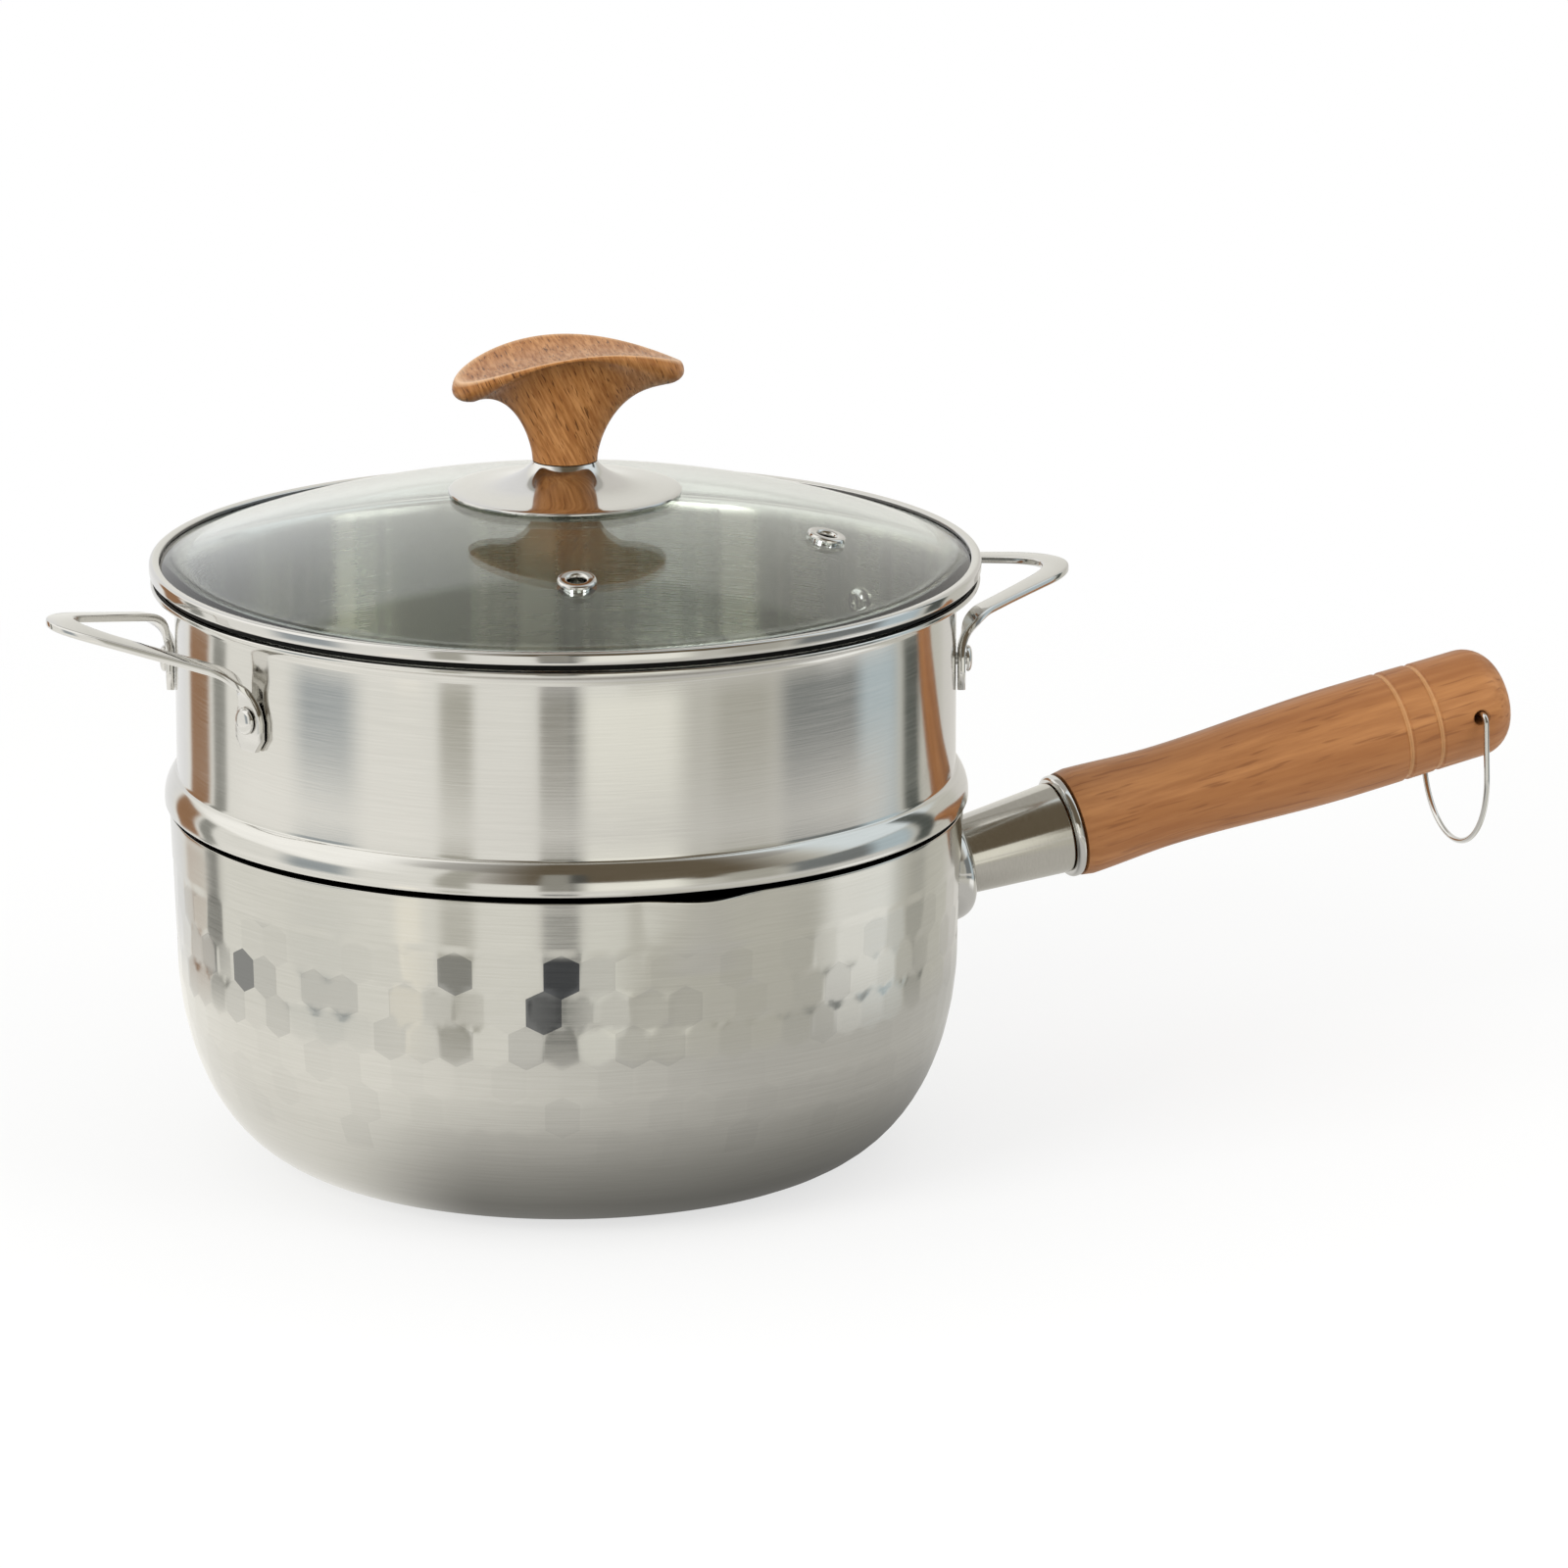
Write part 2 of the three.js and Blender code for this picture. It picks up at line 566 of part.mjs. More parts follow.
function loopStations() {
  const turn = degToRad(LOOP_ROOT_ANGLE);
  const middle = tabInside + LOOP_THICKNESS / 2;
  const reach = mouthRadius + LOOP_PROJECTION - LOOP_TIP_WIDTH / 2;
  const foot = new THREE.Vector3(middle * Math.cos(turn), middle * Math.sin(turn), tabBottom);
  const outwards = new THREE.Vector3(Math.cos(turn), Math.sin(turn), 0);
  const corner = foot.clone().setZ(loopRootHeight).addScaledVector(outwards, LOOP_STANDOFF);
  const apex = new THREE.Vector3(reach + LOOP_TIP_ROUND, 0, loopTipHeight);
  const leg = apex.clone().sub(corner).normalize();
  const bendStart = foot.clone().setZ(loopRootHeight - LOOP_BEND);
  const bendEnd = corner.clone().addScaledVector(leg, LOOP_BEND);
  const tipStart = apex.clone().addScaledVector(leg, (-2 * LOOP_TIP_ROUND) / leg.x);
  const mirrored = (point) => new THREE.Vector3(point.x, -point.y, point.z);
  const path = new THREE.CurvePath();
  path.add(new THREE.LineCurve3(foot, bendStart));
  path.add(new THREE.QuadraticBezierCurve3(bendStart, corner, bendEnd));
  path.add(new THREE.LineCurve3(bendEnd, tipStart));
  path.add(new THREE.QuadraticBezierCurve3(tipStart, apex, mirrored(tipStart)));
  path.add(new THREE.LineCurve3(mirrored(tipStart), mirrored(bendEnd)));
  path.add(new THREE.QuadraticBezierCurve3(mirrored(bendEnd), mirrored(corner), mirrored(bendStart)));
  path.add(new THREE.LineCurve3(mirrored(bendStart), mirrored(foot)));
  const stations = [];
  for (let i = 0; i <= LOOP_STEPS; i++) {
    const point = path.getPointAt(i / LOOP_STEPS);
    const along = path.getTangentAt(i / LOOP_STEPS);
    const side = Math.sign(point.y) || 1;
    const facing = new THREE.Vector3(outwards.x, side * outwards.y, 0);
    const laid = smooth((point.z - bendStart.z) / LOOP_BEND);
    const through = facing.lerp(DOWN, laid);
    through.addScaledVector(along, -through.dot(along)).normalize();
    const across = new THREE.Vector3().crossVectors(along, through);
    const towardsTip = smooth(1 - Math.abs(point.y) / (2 * tipStart.y));
    const barWidth = lerp(LOOP_LEG_WIDTH, LOOP_TIP_WIDTH, towardsTip);
    const isEnd = i === 0 || i === LOOP_STEPS;
    const narrowed = smooth((point.z - rivetHeight) / (loopRootHeight - LOOP_BEND / 2 - rivetHeight));
    const width = lerp(LOOP_TAB_WIDTH, barWidth, narrowed) * (isEnd ? LOOP_TAB_CHAMFER : 1);
    stations.push({ point, across, through, stretch: width });
  }
  return stations;
}

// A tool or a piece about Z, laid along the outward direction at a tab
function atTab(geometry, side) {
  return geometry
    .rotateY(QUARTER_TURN)
    .translate(0, 0, rivetHeight)
    .rotateZ(side * degToRad(LOOP_ROOT_ANGLE));
}

function rivetHole(side) {
  const from = wallRadius - STEAMER_SHEET - RIVET_HEAD_HEIGHT;
  const to = tabInside + LOOP_THICKNESS + RIVET_HEAD_HEIGHT;
  return atTab(rod(RIVET_RADIUS + FIT, from, to, SMALL_SIDES), side);
}

function loopHandle() {
  const half = LOOP_THICKNESS / 2;
  const bar = new THREE.Shape();
  bar.moveTo(-1 / 2, -half);
  bar.lineTo(1 / 2, -half);
  bar.lineTo(1 / 2, half);
  bar.lineTo(-1 / 2, half);
  return cutAway(swept(bar, loopStations(), 1), [rivetHole(1), rivetHole(-1)]);
}

function loopRivet(side) {
  const inner = (wallRadius - STEAMER_SHEET) * flatOfWall - FIT;
  const outer = tabInside + LOOP_THICKNESS + FIT;
  const section = [
    [0, inner - RIVET_HEAD_HEIGHT],
    [RIVET_CROWN_RADIUS, inner - RIVET_HEAD_HEIGHT],
    [RIVET_HEAD_RADIUS, inner - RIVET_HEAD_EDGE],
    [RIVET_HEAD_RADIUS, inner],
    [RIVET_RADIUS, inner],
    [RIVET_RADIUS, outer],
    [RIVET_HEAD_RADIUS, outer],
    [RIVET_HEAD_RADIUS, outer + RIVET_HEAD_EDGE],
    [RIVET_CROWN_RADIUS, outer + RIVET_HEAD_HEIGHT],
    [0, outer + RIVET_HEAD_HEIGHT],
  ];
  return atTab(turned(section, SMALL_SIDES), side);
}

function steamerBody() {
  const tools = steamHoles();
  for (const side of [1, -1]) {
    tools.push(rivetHole(side));
    tools.push(rivetHole(side).rotateZ(Math.PI));
  }
  return cutAway(steamerShell(), tools);
}

// Lid: glass dome in a rolled steel rim

const rimRadius = mouthRadius + RIM_OVERHANG;
const rimSeat = steamerTop + FIT;
const rimLipRadius = rimRadius - RIM_LIP;
const pocketRadius = rimRadius - RIM_WALL;
const glassRadius = pocketRadius - FIT;
const glassFloor = rimSeat + RIM_SHEET + FIT;
const glassAtLip = steamerTop + GLASS_AT_LIP;
const pocketTop = glassAtLip + FIT;
const rimTop = pocketTop + RIM_LIP_SHEET;
const domeRadius = (rimLipRadius ** 2 + GLASS_RISE ** 2) / (2 * GLASS_RISE);
const crownHeight = glassAtLip + GLASS_RISE;
const domeCentre = crownHeight - domeRadius;

function domeHeight(sphere, radius) {
  return domeCentre + Math.sqrt(sphere ** 2 - radius ** 2);
}

function vented(geometry, degrees) {
  return geometry
    .rotateY(Math.asin(VENT_RADIUS_AT / domeRadius))
    .rotateZ(degToRad(degrees))
    .translate(0, 0, domeCentre);
}

function lidGlass() {
  const under = domeRadius - GLASS_THICKNESS;
  const section = [];
  for (let i = 0; i <= GLASS_STEPS; i++) {
    const radius = (i / GLASS_STEPS) * glassRadius;
    section.push([radius, Math.max(glassFloor, domeHeight(under, radius))]);
  }
  for (let i = GLASS_STEPS; i >= 0; i--) {
    const radius = (i / GLASS_STEPS) * glassRadius;
    section.push([radius, domeHeight(domeRadius, radius)]);
  }
  const boltHole = rod(BOLT_RADIUS + GLASS_HOLE_CLEARANCE, glassFloor, crownHeight + FIT, SMALL_SIDES);
  const below = under - GLASS_THICKNESS;
  const above = domeRadius + GLASS_THICKNESS;
  const ventTool = () => rod(EYELET_BARREL + FIT, below, above, SMALL_SIDES);
  const ventHoles = Object.values(VENTS).map((degrees) => vented(ventTool(), degrees));
  return cutAway(turned(section, ROUND_SIDES), [boltHole, ...ventHoles]);
}

function lidRim() {
  const pocketFloor = rimSeat + RIM_SHEET;
  const hookRadius = rimRadius - RIM_HOOK;
  const grooveRadius = rimRadius - RIM_GROOVE_DEPTH;
  const beadBottom = steamerTop + RIM_GROOVE;
  const section = [
    [hookRadius, rimSeat],
    [grooveRadius, rimSeat],
    [grooveRadius, beadBottom],
    [rimRadius, beadBottom + RIM_EDGE],
    [rimRadius, rimTop - RIM_EDGE],
    [rimRadius - RIM_EDGE, rimTop],
    [rimLipRadius, rimTop - RIM_EDGE],
    [rimLipRadius, pocketTop],
    [pocketRadius, pocketTop],
    [pocketRadius, pocketFloor],
    [hookRadius, pocketFloor],
  ];
  return turned(section, ROUND_SIDES);
}

function ventEyelet(degrees) {
  const above = domeRadius + FIT;
  const below = domeRadius - GLASS_THICKNESS - FIT;
  const round = EYELET_FLANGE_HEIGHT / 2;
  const section = [
    [EYELET_HOLE, below - EYELET_FLANGE_HEIGHT],
    [EYELET_FLANGE - round, below - EYELET_FLANGE_HEIGHT],
    [EYELET_FLANGE, below - round],
    [EYELET_FLANGE, below],
    [EYELET_BARREL, below],
    [EYELET_BARREL, above],
    [EYELET_FLANGE, above],
    [EYELET_FLANGE, above + round],
    [EYELET_FLANGE - round, above + EYELET_FLANGE_HEIGHT],
    [EYELET_HOLE, above + EYELET_FLANGE_HEIGHT],
  ];
  return vented(turned(section, SMALL_SIDES), degrees);
}

// Knob and its fixing, stacked about the lid's axis

const skirtTop = crownHeight + SKIRT_DISC_HEIGHT;
const knobBottom = skirtTop + FIT;
const boltBore = BOLT_RADIUS + FIT;
const neckInside = KNOB_NECK_RADIUS - SKIRT_DISC_SHEET;
const underTop = skirtTop - SKIRT_DISC_SHEET;
const bushRadius = neckInside - BUSH_CLEARANCE;
const bushTop = underTop - FIT;
const gasketTop = crownHeight - GLASS_THICKNESS - FIT;
const gasketBottom = gasketTop - GASKET_THICKNESS;
const washerTop = gasketBottom - FIT;
const washerBottom = washerTop - WASHER_THICKNESS;
const boltSeat = washerBottom - FIT;
const boltTop = knobBottom + BOLT_IN_KNOB;

function sleeve(bore, radius, from, to) {
  return turned([[bore, from], [radius, from], [radius, to], [bore, to]], HANDLE_SIDES);
}

function knobSkirt() {
  const edge = domeHeight(domeRadius, SKIRT_DISC_RADIUS) + FIT;
  const foot = crownHeight + FIT;
  const path = new THREE.Path();
  path.moveTo(SKIRT_DISC_RADIUS, edge);
  path.lineTo(SKIRT_DISC_RADIUS, edge + SKIRT_DISC_SHEET);
  const waist = foot + SKIRT_WAIST_RISE;
  const waistTop = waist + SKIRT_DISC_SHEET;
  path.quadraticCurveTo(KNOB_NECK_RADIUS + SKIRT_WAIST, waistTop, KNOB_NECK_RADIUS, skirtTop);
  path.lineTo(boltBore, skirtTop);
  path.lineTo(boltBore, underTop);
  path.lineTo(neckInside, underTop);
  path.quadraticCurveTo(neckInside + SKIRT_WAIST, waist, SKIRT_DISC_RADIUS - SKIRT_DISC_SHEET, edge);
  return turnedPath(path, HANDLE_SIDES);
}

function knobBolt() {
  const head = rod(BOLT_HEAD_RADIUS, boltSeat - BOLT_HEAD_HEIGHT, boltSeat, BOLT_HEAD_SIDES);
  const shank = rod(BOLT_RADIUS, boltSeat - BOLT_HEAD_HEIGHT / 2, boltTop, SMALL_SIDES);
  return toGeometry(toSolid(head).add(toSolid(shank)));
}

// The knob's rings: half length, half width, the heights of ends and of sides, and the share of twist
function knobRings() {
  const rings = [];
  for (let i = 0; i <= KNOB_UNDER_STEPS; i++) {
    const turn = (i / KNOB_UNDER_STEPS) * QUARTER_TURN;
    const spread = 1 - Math.max(0, Math.cos(turn)) ** KNOB_SPREAD_POWER;
    const rise = Math.sin(turn) ** KNOB_RISE_POWER;
    rings.push({
      long: lerp(KNOB_NECK_RADIUS, KNOB_HALF_LENGTH, spread),
      wide: lerp(KNOB_NECK_RADIUS, KNOB_HALF_WIDTH, spread),
      ends: KNOB_END_RISE * rise,
      sides: KNOB_SIDE_RISE * rise,
      twist: spread,
    });
  }
  const endTop = KNOB_END_RISE + KNOB_END_THICKNESS;
  const sideTop = KNOB_SIDE_RISE + KNOB_SIDE_THICKNESS;
  rings.push({
    long: KNOB_HALF_LENGTH + KNOB_EDGE_ROUND,
    wide: KNOB_HALF_WIDTH + KNOB_EDGE_ROUND,
    ends: KNOB_END_RISE + KNOB_END_THICKNESS / 2,
    sides: KNOB_SIDE_RISE + KNOB_SIDE_THICKNESS / 2,
    twist: 1,
  });
  for (const scale of [1, ...KNOB_TOP_SCALES]) {
    const hollow = KNOB_DISH * (1 - scale * scale);
    rings.push({
      long: KNOB_HALF_LENGTH * scale,
      wide: KNOB_HALF_WIDTH * scale,
      ends: lerp(sideTop, endTop, scale * scale) - hollow,
      sides: sideTop - hollow,
      twist: 1,
    });
  }
  return rings;
}

function lidKnob() {
  const rings = knobRings();
  const topCentre = KNOB_SIDE_RISE + KNOB_SIDE_THICKNESS - KNOB_DISH;
  const outline = [new THREE.Vector2(0, 0), ...rings.map((ring, i) => new THREE.Vector2(1, i))];
  outline.push(new THREE.Vector2(0, rings.length));
  const geometry = new THREE.LatheGeometry(outline, HANDLE_SIDES);
  const place = geometry.attributes.position;
  for (let i = 0; i < place.count; i++) {
    const row = i % outline.length;
    const ring = rings[row - 1];
    if (!ring) {
      place.setXYZ(i, 0, 0, knobBottom + (row === 0 ? 0 : topCentre));
      continue;
    }
    const turn = (Math.floor(i / outline.length) / HANDLE_SIDES) * 2 * Math.PI;
    const x = ring.long * Math.cos(turn);
    const y = ring.wide * Math.sin(turn);
    const lean = (KNOB_TILT * x - KNOB_TWIST * x * y) * ring.twist;
    const height = lerp(ring.sides, ring.ends, Math.cos(turn) ** 2) + lean;
    place.setXYZ(i, x, y, knobBottom + height);
  }
  const boltHole = rod(boltBore, knobBottom - FIT, boltTop + FIT, SMALL_SIDES);
  return cutAway(geometry, [boltHole]);
}

// Assembly

const pan = new THREE.Group();
addPiece(pan, "pan_body", panBody(), brushedSteel);

const handle = new THREE.Group();
handle.applyMatrix4(handlePlace);
addPiece(handle, "handle_flange", handleFlange(), polishedSteel);
addPiece(handle, "handle_ferrule", handleFerrule(), brushedSteel);
addPiece(handle, "ferrule_ring", ferruleRing(), polishedSteel);
addPiece(handle, "handle_grip", handleGrip(), beech);
addPiece(handle, "ferrule_screw", ferruleScrew(), polishedSteel);
pan.add(handle);

const ring = addPiece(pan, "hanging_ring", hangingRing(), polishedSteel);
ring.position.set(0, 0, holeAlong).applyMatrix4(handlePlace);
ring.rotation.x = -ringTilt;

const steamer = new THREE.Group();
steamer.rotation.z = degToRad(STEAMER_TURN);
addPiece(steamer, "steamer_body", steamerBody(), polishedSteel);
for (const [hand, turn] of [["right", 0], ["left", Math.PI]]) {
  const loop = new THREE.Group();
  loop.rotation.z = turn;
  addPiece(loop, `loop_handle_${hand}`, loopHandle(), polishedSteel);
  const front = hand === "right" ? -1 : 1;
  addPiece(loop, `handle_rivet_${hand}_front`, loopRivet(front), polishedSteel);
  addPiece(loop, `handle_rivet_${hand}_back`, loopRivet(-front), polishedSteel);
  steamer.add(loop);
}
pan.add(steamer);

const lid = new THREE.Group();
addPiece(lid, "lid_glass", lidGlass(), clearGlass);
addPiece(lid, "lid_rim", lidRim(), polishedSteel);
for (const [name, degrees] of Object.entries(VENTS)) {
  addPiece(lid, `vent_eyelet_${name}`, ventEyelet(degrees), polishedSteel);
}
addPiece(lid, "knob_skirt", knobSkirt(), polishedSteel);
addPiece(lid, "lid_knob", lidKnob(), grainedWood).rotation.z = degToRad(KNOB_TURN);
addPiece(lid, "knob_bolt", knobBolt(), polishedSteel);
addPiece(lid, "knob_washer", sleeve(boltBore, WASHER_RADIUS, washerBottom, washerTop), polishedSteel);
addPiece(lid, "knob_gasket", sleeve(boltBore, GASKET_RADIUS, gasketBottom, gasketTop), silicone);
addPiece(lid, "knob_bush", sleeve(boltBore, bushRadius, crownHeight + FIT, bushTop), silicone);
steamer.add(lid);

export default pan;
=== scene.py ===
import math
import random

import bmesh
import bpy
from mathutils import Matrix, Vector


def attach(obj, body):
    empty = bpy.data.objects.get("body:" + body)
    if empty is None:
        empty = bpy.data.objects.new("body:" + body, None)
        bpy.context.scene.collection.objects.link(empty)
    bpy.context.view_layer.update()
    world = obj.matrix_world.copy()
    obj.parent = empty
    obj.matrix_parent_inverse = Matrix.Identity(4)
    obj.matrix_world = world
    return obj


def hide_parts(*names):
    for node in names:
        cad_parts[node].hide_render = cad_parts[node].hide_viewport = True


# Looks of the milk pan: the pan with its stick handle, the steamer insert and the glass lid.
# Shapes are drawn in millimetres in the part's frame, and each finished piece is scaled to metres.

MM = 0.001
FULL_TURN = 2 * math.pi
QUARTER_TURN = math.pi / 2
DOUBLES = 1e-4  # vertices nearer than this are one vertex
EDGE_SHARE = 0.49  # the most of an edge that the rounding of one of its corners takes
NEAR_NOTHING = 1e-6  # gives a point on a bar's middle line a side

# Camera, as found from the photograph
VIEW_AZIMUTH = math.radians(-21)
VIEW_ELEVATION = math.radians(14.56)
VIEW_DISTANCE = 2519.3
VIEW_RIGHT = 55.3
VIEW_UP = 92.4
VIEW_LENS = 225
VIEW_SENSOR = 36
VIEW_CLIP = (0.1, 100)  # metres

# Pan
PAN_RIM_RADIUS = 101
PAN_RIM_ROUND = 0.45
PAN_HEIGHT = 91.3
PAN_WALL = 1
PAN_BASE_RADIUS = 61
PAN_CURVE_HEIGHT = 58
PAN_CURVE_POWER = 2.17
PAN_TAPER = 0.04
PAN_STEPS = 600
PAN_LOW_HEIGHTS = (0.02, 0.15, 0.5, 1.1, 2, 3.2, 4.8, 6.8, 9, 11.5, 14.2, 17, 20, 22.5)
PAN_FINE_HEIGHTS = range(25, 81)  # a ring for each millimetre of the hammered band
PAN_HIGH_HEIGHTS = range(82, 92, 2)
PAN_INNER_HEIGHTS = (84, 76, 66)
PAN_INNER_STEPS = 16
BASE_HOLLOW = 0.4
BASE_MIDDLE = 30
BASE_HOLLOW_RADIUS = 55
BASE_RING_RADIUS = 57
SPOUT_HALF_WIDTH = 17
SPOUT_DEPTH = 20
SPOUT_OUT = 2.3
SPOUT_DIP = 0.7

# Hammer marks, in rows of hexagons round the wall
HAMMER_COLUMNS = 71
HAMMER_TOP = 72.4  # height of the highest row of marks
HAMMER_PITCH = 9.2
HAMMER_ROWS = (0.75, 1.0, 0.95, 0.8, 0.6, 0.4)  # how strong each row is, from the top down
HAMMER_LEAST = 0.75  # of a row's strength in its weakest mark
HAMMER_ABOVE = 0.68  # rows hammered above the middle of the highest marks
HAMMER_BELOW = 0.6
HAMMER_SINK = 0.12
HAMMER_RAISE = 0.02  # the most that a mark lifts the wall
HAMMER_LEAN = 0.011  # how far a mark leans at random, as a slope
HAMMER_PHASE = math.radians(-110.6)
HAMMER_SEED = 7
HAMMERED = "hammered"  # marks the outside of the wall, where the hammer has been
FACET_REFLECTION_TONE = (0.085, 0.09, 0.10)  # painted reflection: the colour given to a mark that would mirror something dark
FACET_CONTRAST = 2.2
FACET_TOP_ROW = 0.2  # how dark the highest row's marks get
FACET_NEXT_ROW = 0.45
FACET_LOW_ROWS = 0.2  # share of that left three rows down
FACET_RIGHT = 0.5  # share left on the right
FACET_RIGHT_BEARINGS = (-5, 25)  # between which the marks fade to that share
FACET_ABOVE = 0.55  # rows shaded above the middle of the highest marks
FACET_BELOW = 0.4
FACET_SOFT = 0.15
DARK_REFLECTION_FACETS = ((0, 0, 0.95), (0, 1, 0.85), (-3, 0, 0.55), (-10, 1, 0.75))  # column, row and shade of a mark's painted reflection
SAME_CELL = 0.1

# Stick handle, along its own axis from the pan's wall
HANDLE_ROOT = Vector((99.896, 0, 64.4))
HANDLE_TURN = math.radians(79)
HANDLE_PLACE = Matrix.Translation(HANDLE_ROOT) @ Matrix.Rotation(HANDLE_TURN, 4, "Y")
FLANGE_RADIUS = 15.5
FLANGE_EDGE = 1.5
FLANGE_LENGTH = 8
FLANGE_REACH = 9  # how far below its seat the flange is fitted to the wall
FLANGE_CLEAR = 0.1
FLANGE_FOOT_RADII = (0, 4, 8, 12, FLANGE_RADIUS)
FLANGE_STEPS = 72
SEAT_TRIES = 30
FERRULE_START = 8.3
FERRULE_END = 35.9
FERRULE_RADIUS = 10
FERRULE_MOUTH = 12
FERRULE_WALL = 1
FERRULE_ROUND = 0.4
FERRULE_MOUTH_ROUND = 0.3
FERRULE_STEPS = 96
ROLL_START = 36.2
ROLL_END = 38.8
ROLL_RADIUS = 13.6
ROLL_BORE = 11.2
ROLL_ROUND = 1.1
ROLL_BORE_ROUND = 0.3
GRIP_START = 39.1
GRIP_LENGTH = 125
GRIP_END_ROUND = 9
GRIP_END_STEPS = 12
GRIP_NECK = 14.2
GRIP_NECK_EDGE = 0.8
GRIP_ENTRY = 1.2  # length over which the grip's near edge is eased
GRIP_ENTRY_SINK = 0.5
GRIP_WAIST = 13.05
GRIP_WAIST_AT = 27
GRIP_SWELL = 14.7
GRIP_SWELL_AT = 78
GRIP_END = 14.4
GRIP_STATIONS = 40
GRIP_STEPS = 96
GROOVES_FROM_END = (32, 23)
GROOVE_WIDTH = 2.2
GROOVE_DEPTH = 0.9
GROOVE_STATIONS = (-1.3, -1, -0.5, 0, 0.5, 1, 1.3)  # in half widths from a groove's middle
TENON_START = 13.1
TENON_RADIUS = 10.5
TENON_TAPER = 1.2
SCREW_ALONG = 22.3
SCREW_SEAT = 11.3
SCREW_TIP = 2.3
SCREW_RADIUS = 1.5
SCREW_HEAD = 3
SCREW_CROWN = 2.8
SCREW_EDGE = 0.3
SCREW_RISE = 1.6
SCREW_RECESS_MOUTH = 1.2
SCREW_RECESS_RADIUS = 0.9
SCREW_RECESS_FLOOR = 1.0
SCREW_STEPS = 32

# Hanging ring
HOLE_FROM_END = 11.5
HOLE_RADIUS = 2
HOLE_MOUTH = 2.5
HOLE_STEPS = 32
WIRE_RADIUS = 0.75
WIRE_SIDES = 16
WIRE_SPLIT = 0.8
WIRE_BEND = 2.5
WIRE_BOW_STEPS = 48
RING_NEAR = -17
RING_FAR = 22.7
RING_DROP = 36.4
RING_TILT = math.radians(-4.1)
RING_CENTRE = Vector((249.692, 0, 93.517))

# Steamer insert
STEAMER_TURN = math.radians(-1)
STEAMER_STEPS = 288
SHEET = 1
FLOOR_BOTTOM = 80.3
FLOOR_CORNER = 6
SKIRT_RADIUS = 96.5
LIP_RADIUS = 102.2
LIP_BOTTOM = 93
LIP_BAND_TOP = 94.2
LIP_LEAD = 0.4  # short straight length beside a bend or a rounding of the lip
LIP_ROUND = 0.7
LIP_ROOT_ROUND = 0.5
LIP_INNER_ROUND = 0.3
CREASE_HEIGHT = 101
CREASE_RADIUS = 99.5
CREASE_ROUND = 1.2
CREASE_OUT = 0.1  # where the shoulder ends, outside the crease
CREASE_IN = 0.2  # where the wall's bend starts, inside the crease
CREASE_STEP = 0.15  # and above it
SHOULDER_CONTROL = 98
SHOULDER_INNER_DROP = 0.5
WALL_RADIUS = 99
WALL_HEIGHTS = range(108, 141, 8)
INNER_WALL_HEIGHTS = range(136, 111, -12)
FLARE_FROM = 145.5
MOUTH_RADIUS = 105
MOUTH_BOTTOM = 149.1
MOUTH_EDGE = 1.3
MOUTH_ROUND = 0.6
MOUTH_LEAD = 0.3  # from the end of the flare to the mouth's edge
STEAMER_TOP = 150.5
SEAT_RADIUS = 100.6
SEAT_LEAD = 0.2
STEAM_HOLE_RADIUS = 3
STEAM_HOLE_PITCH = 22
STEAM_HOLE_RINGS = 3
HOLES_PER_RING = 6
INSIDE_HEIGHTS = (93.2, 93.6)  # between which the inside's limit grows from the first radius to the second
INSIDE_RADII = (96.0, 98.6)
INSIDE_SOFT = 0.3
STREAKED_RADII = (88, 94)  # the floor is plain, and the wall gets painted sheen streaks
# Painted shade in the gap under the steamer's lip, between these radii and heights
LIP_GAP_RADII = (96.1, 101.0)
LIP_GAP_HEIGHTS = (89.3, 93.2)
LIP_GAP_SOFT = 0.2

# Loop handles
LOOP_ROOT_HEIGHT = 139.4
LOOP_TIPS = {"right": 143.2, "left": 150.6}  # heights the legs aim for
LOOP_ROOT = math.radians(20)
LOOP_TAB_BOTTOM = 120.8
LOOP_FOOT_RISES = (0, 0.7, 1.6, 3)
LOOP_FOOT_ROUND = 3  # height over which a tab's foot narrows
LOOP_FOOT_SHARE = 0.55
LOOP_MIDDLE = 100.3  # radius of the tab's middle
LOOP_STANDOFF = 2
LOOP_TAB_SHARES = (0.3, 0.6)  # stations up the tab, from its foot to the bend
LOOP_LEG_SHARES = (0.33, 0.66)  # stations along a leg, from the bend to the tip
LOOP_BEND = 8
LOOP_BEND_STEPS = 18
LOOP_TIP_MIDDLE = 132.5
LOOP_TIP_ROUND = 8.7
LOOP_TIP_STEPS = 32
LOOP_THICKNESS = 2
LOOP_LEG_WIDTH = 5
LOOP_TIP_WIDTH = 7
LOOP_TAB_WIDTH = 10
LOOP_EDGE = 0.55
LOOP_CORNER_STEPS = 3
RIVET_HEIGHT = 128.5
RIVET_OUTER = 101.6
RIVET_INNER = 97.5
RIVET_HEAD = 3.4
RIVET_FLAT = 0.5
RIVET_EDGE = 0.2
RIVET_SHANK = 1.6
RIVET_RISE = 1.5
RIVET_STEPS = 40

# Lid
LID_STEPS = 288
RIM_RADIUS = 105.3
RIM_SEAT = 150.8
RIM_BEAD_BOTTOM = 152.2
RIM_BEAD_ROUND = 1.2
RIM_TOP = 155.6
RIM_TOP_ROUND = 1.5
RIM_LIP_RADIUS = 102.7
RIM_LIP_DROP = 0.3
RIM_LIP_ROUND = 0.4
RIM_GROOVE_RADIUS = 103.5
RIM_HOOK_RADIUS = 101
RIM_HOOK_ROUND = 0.2
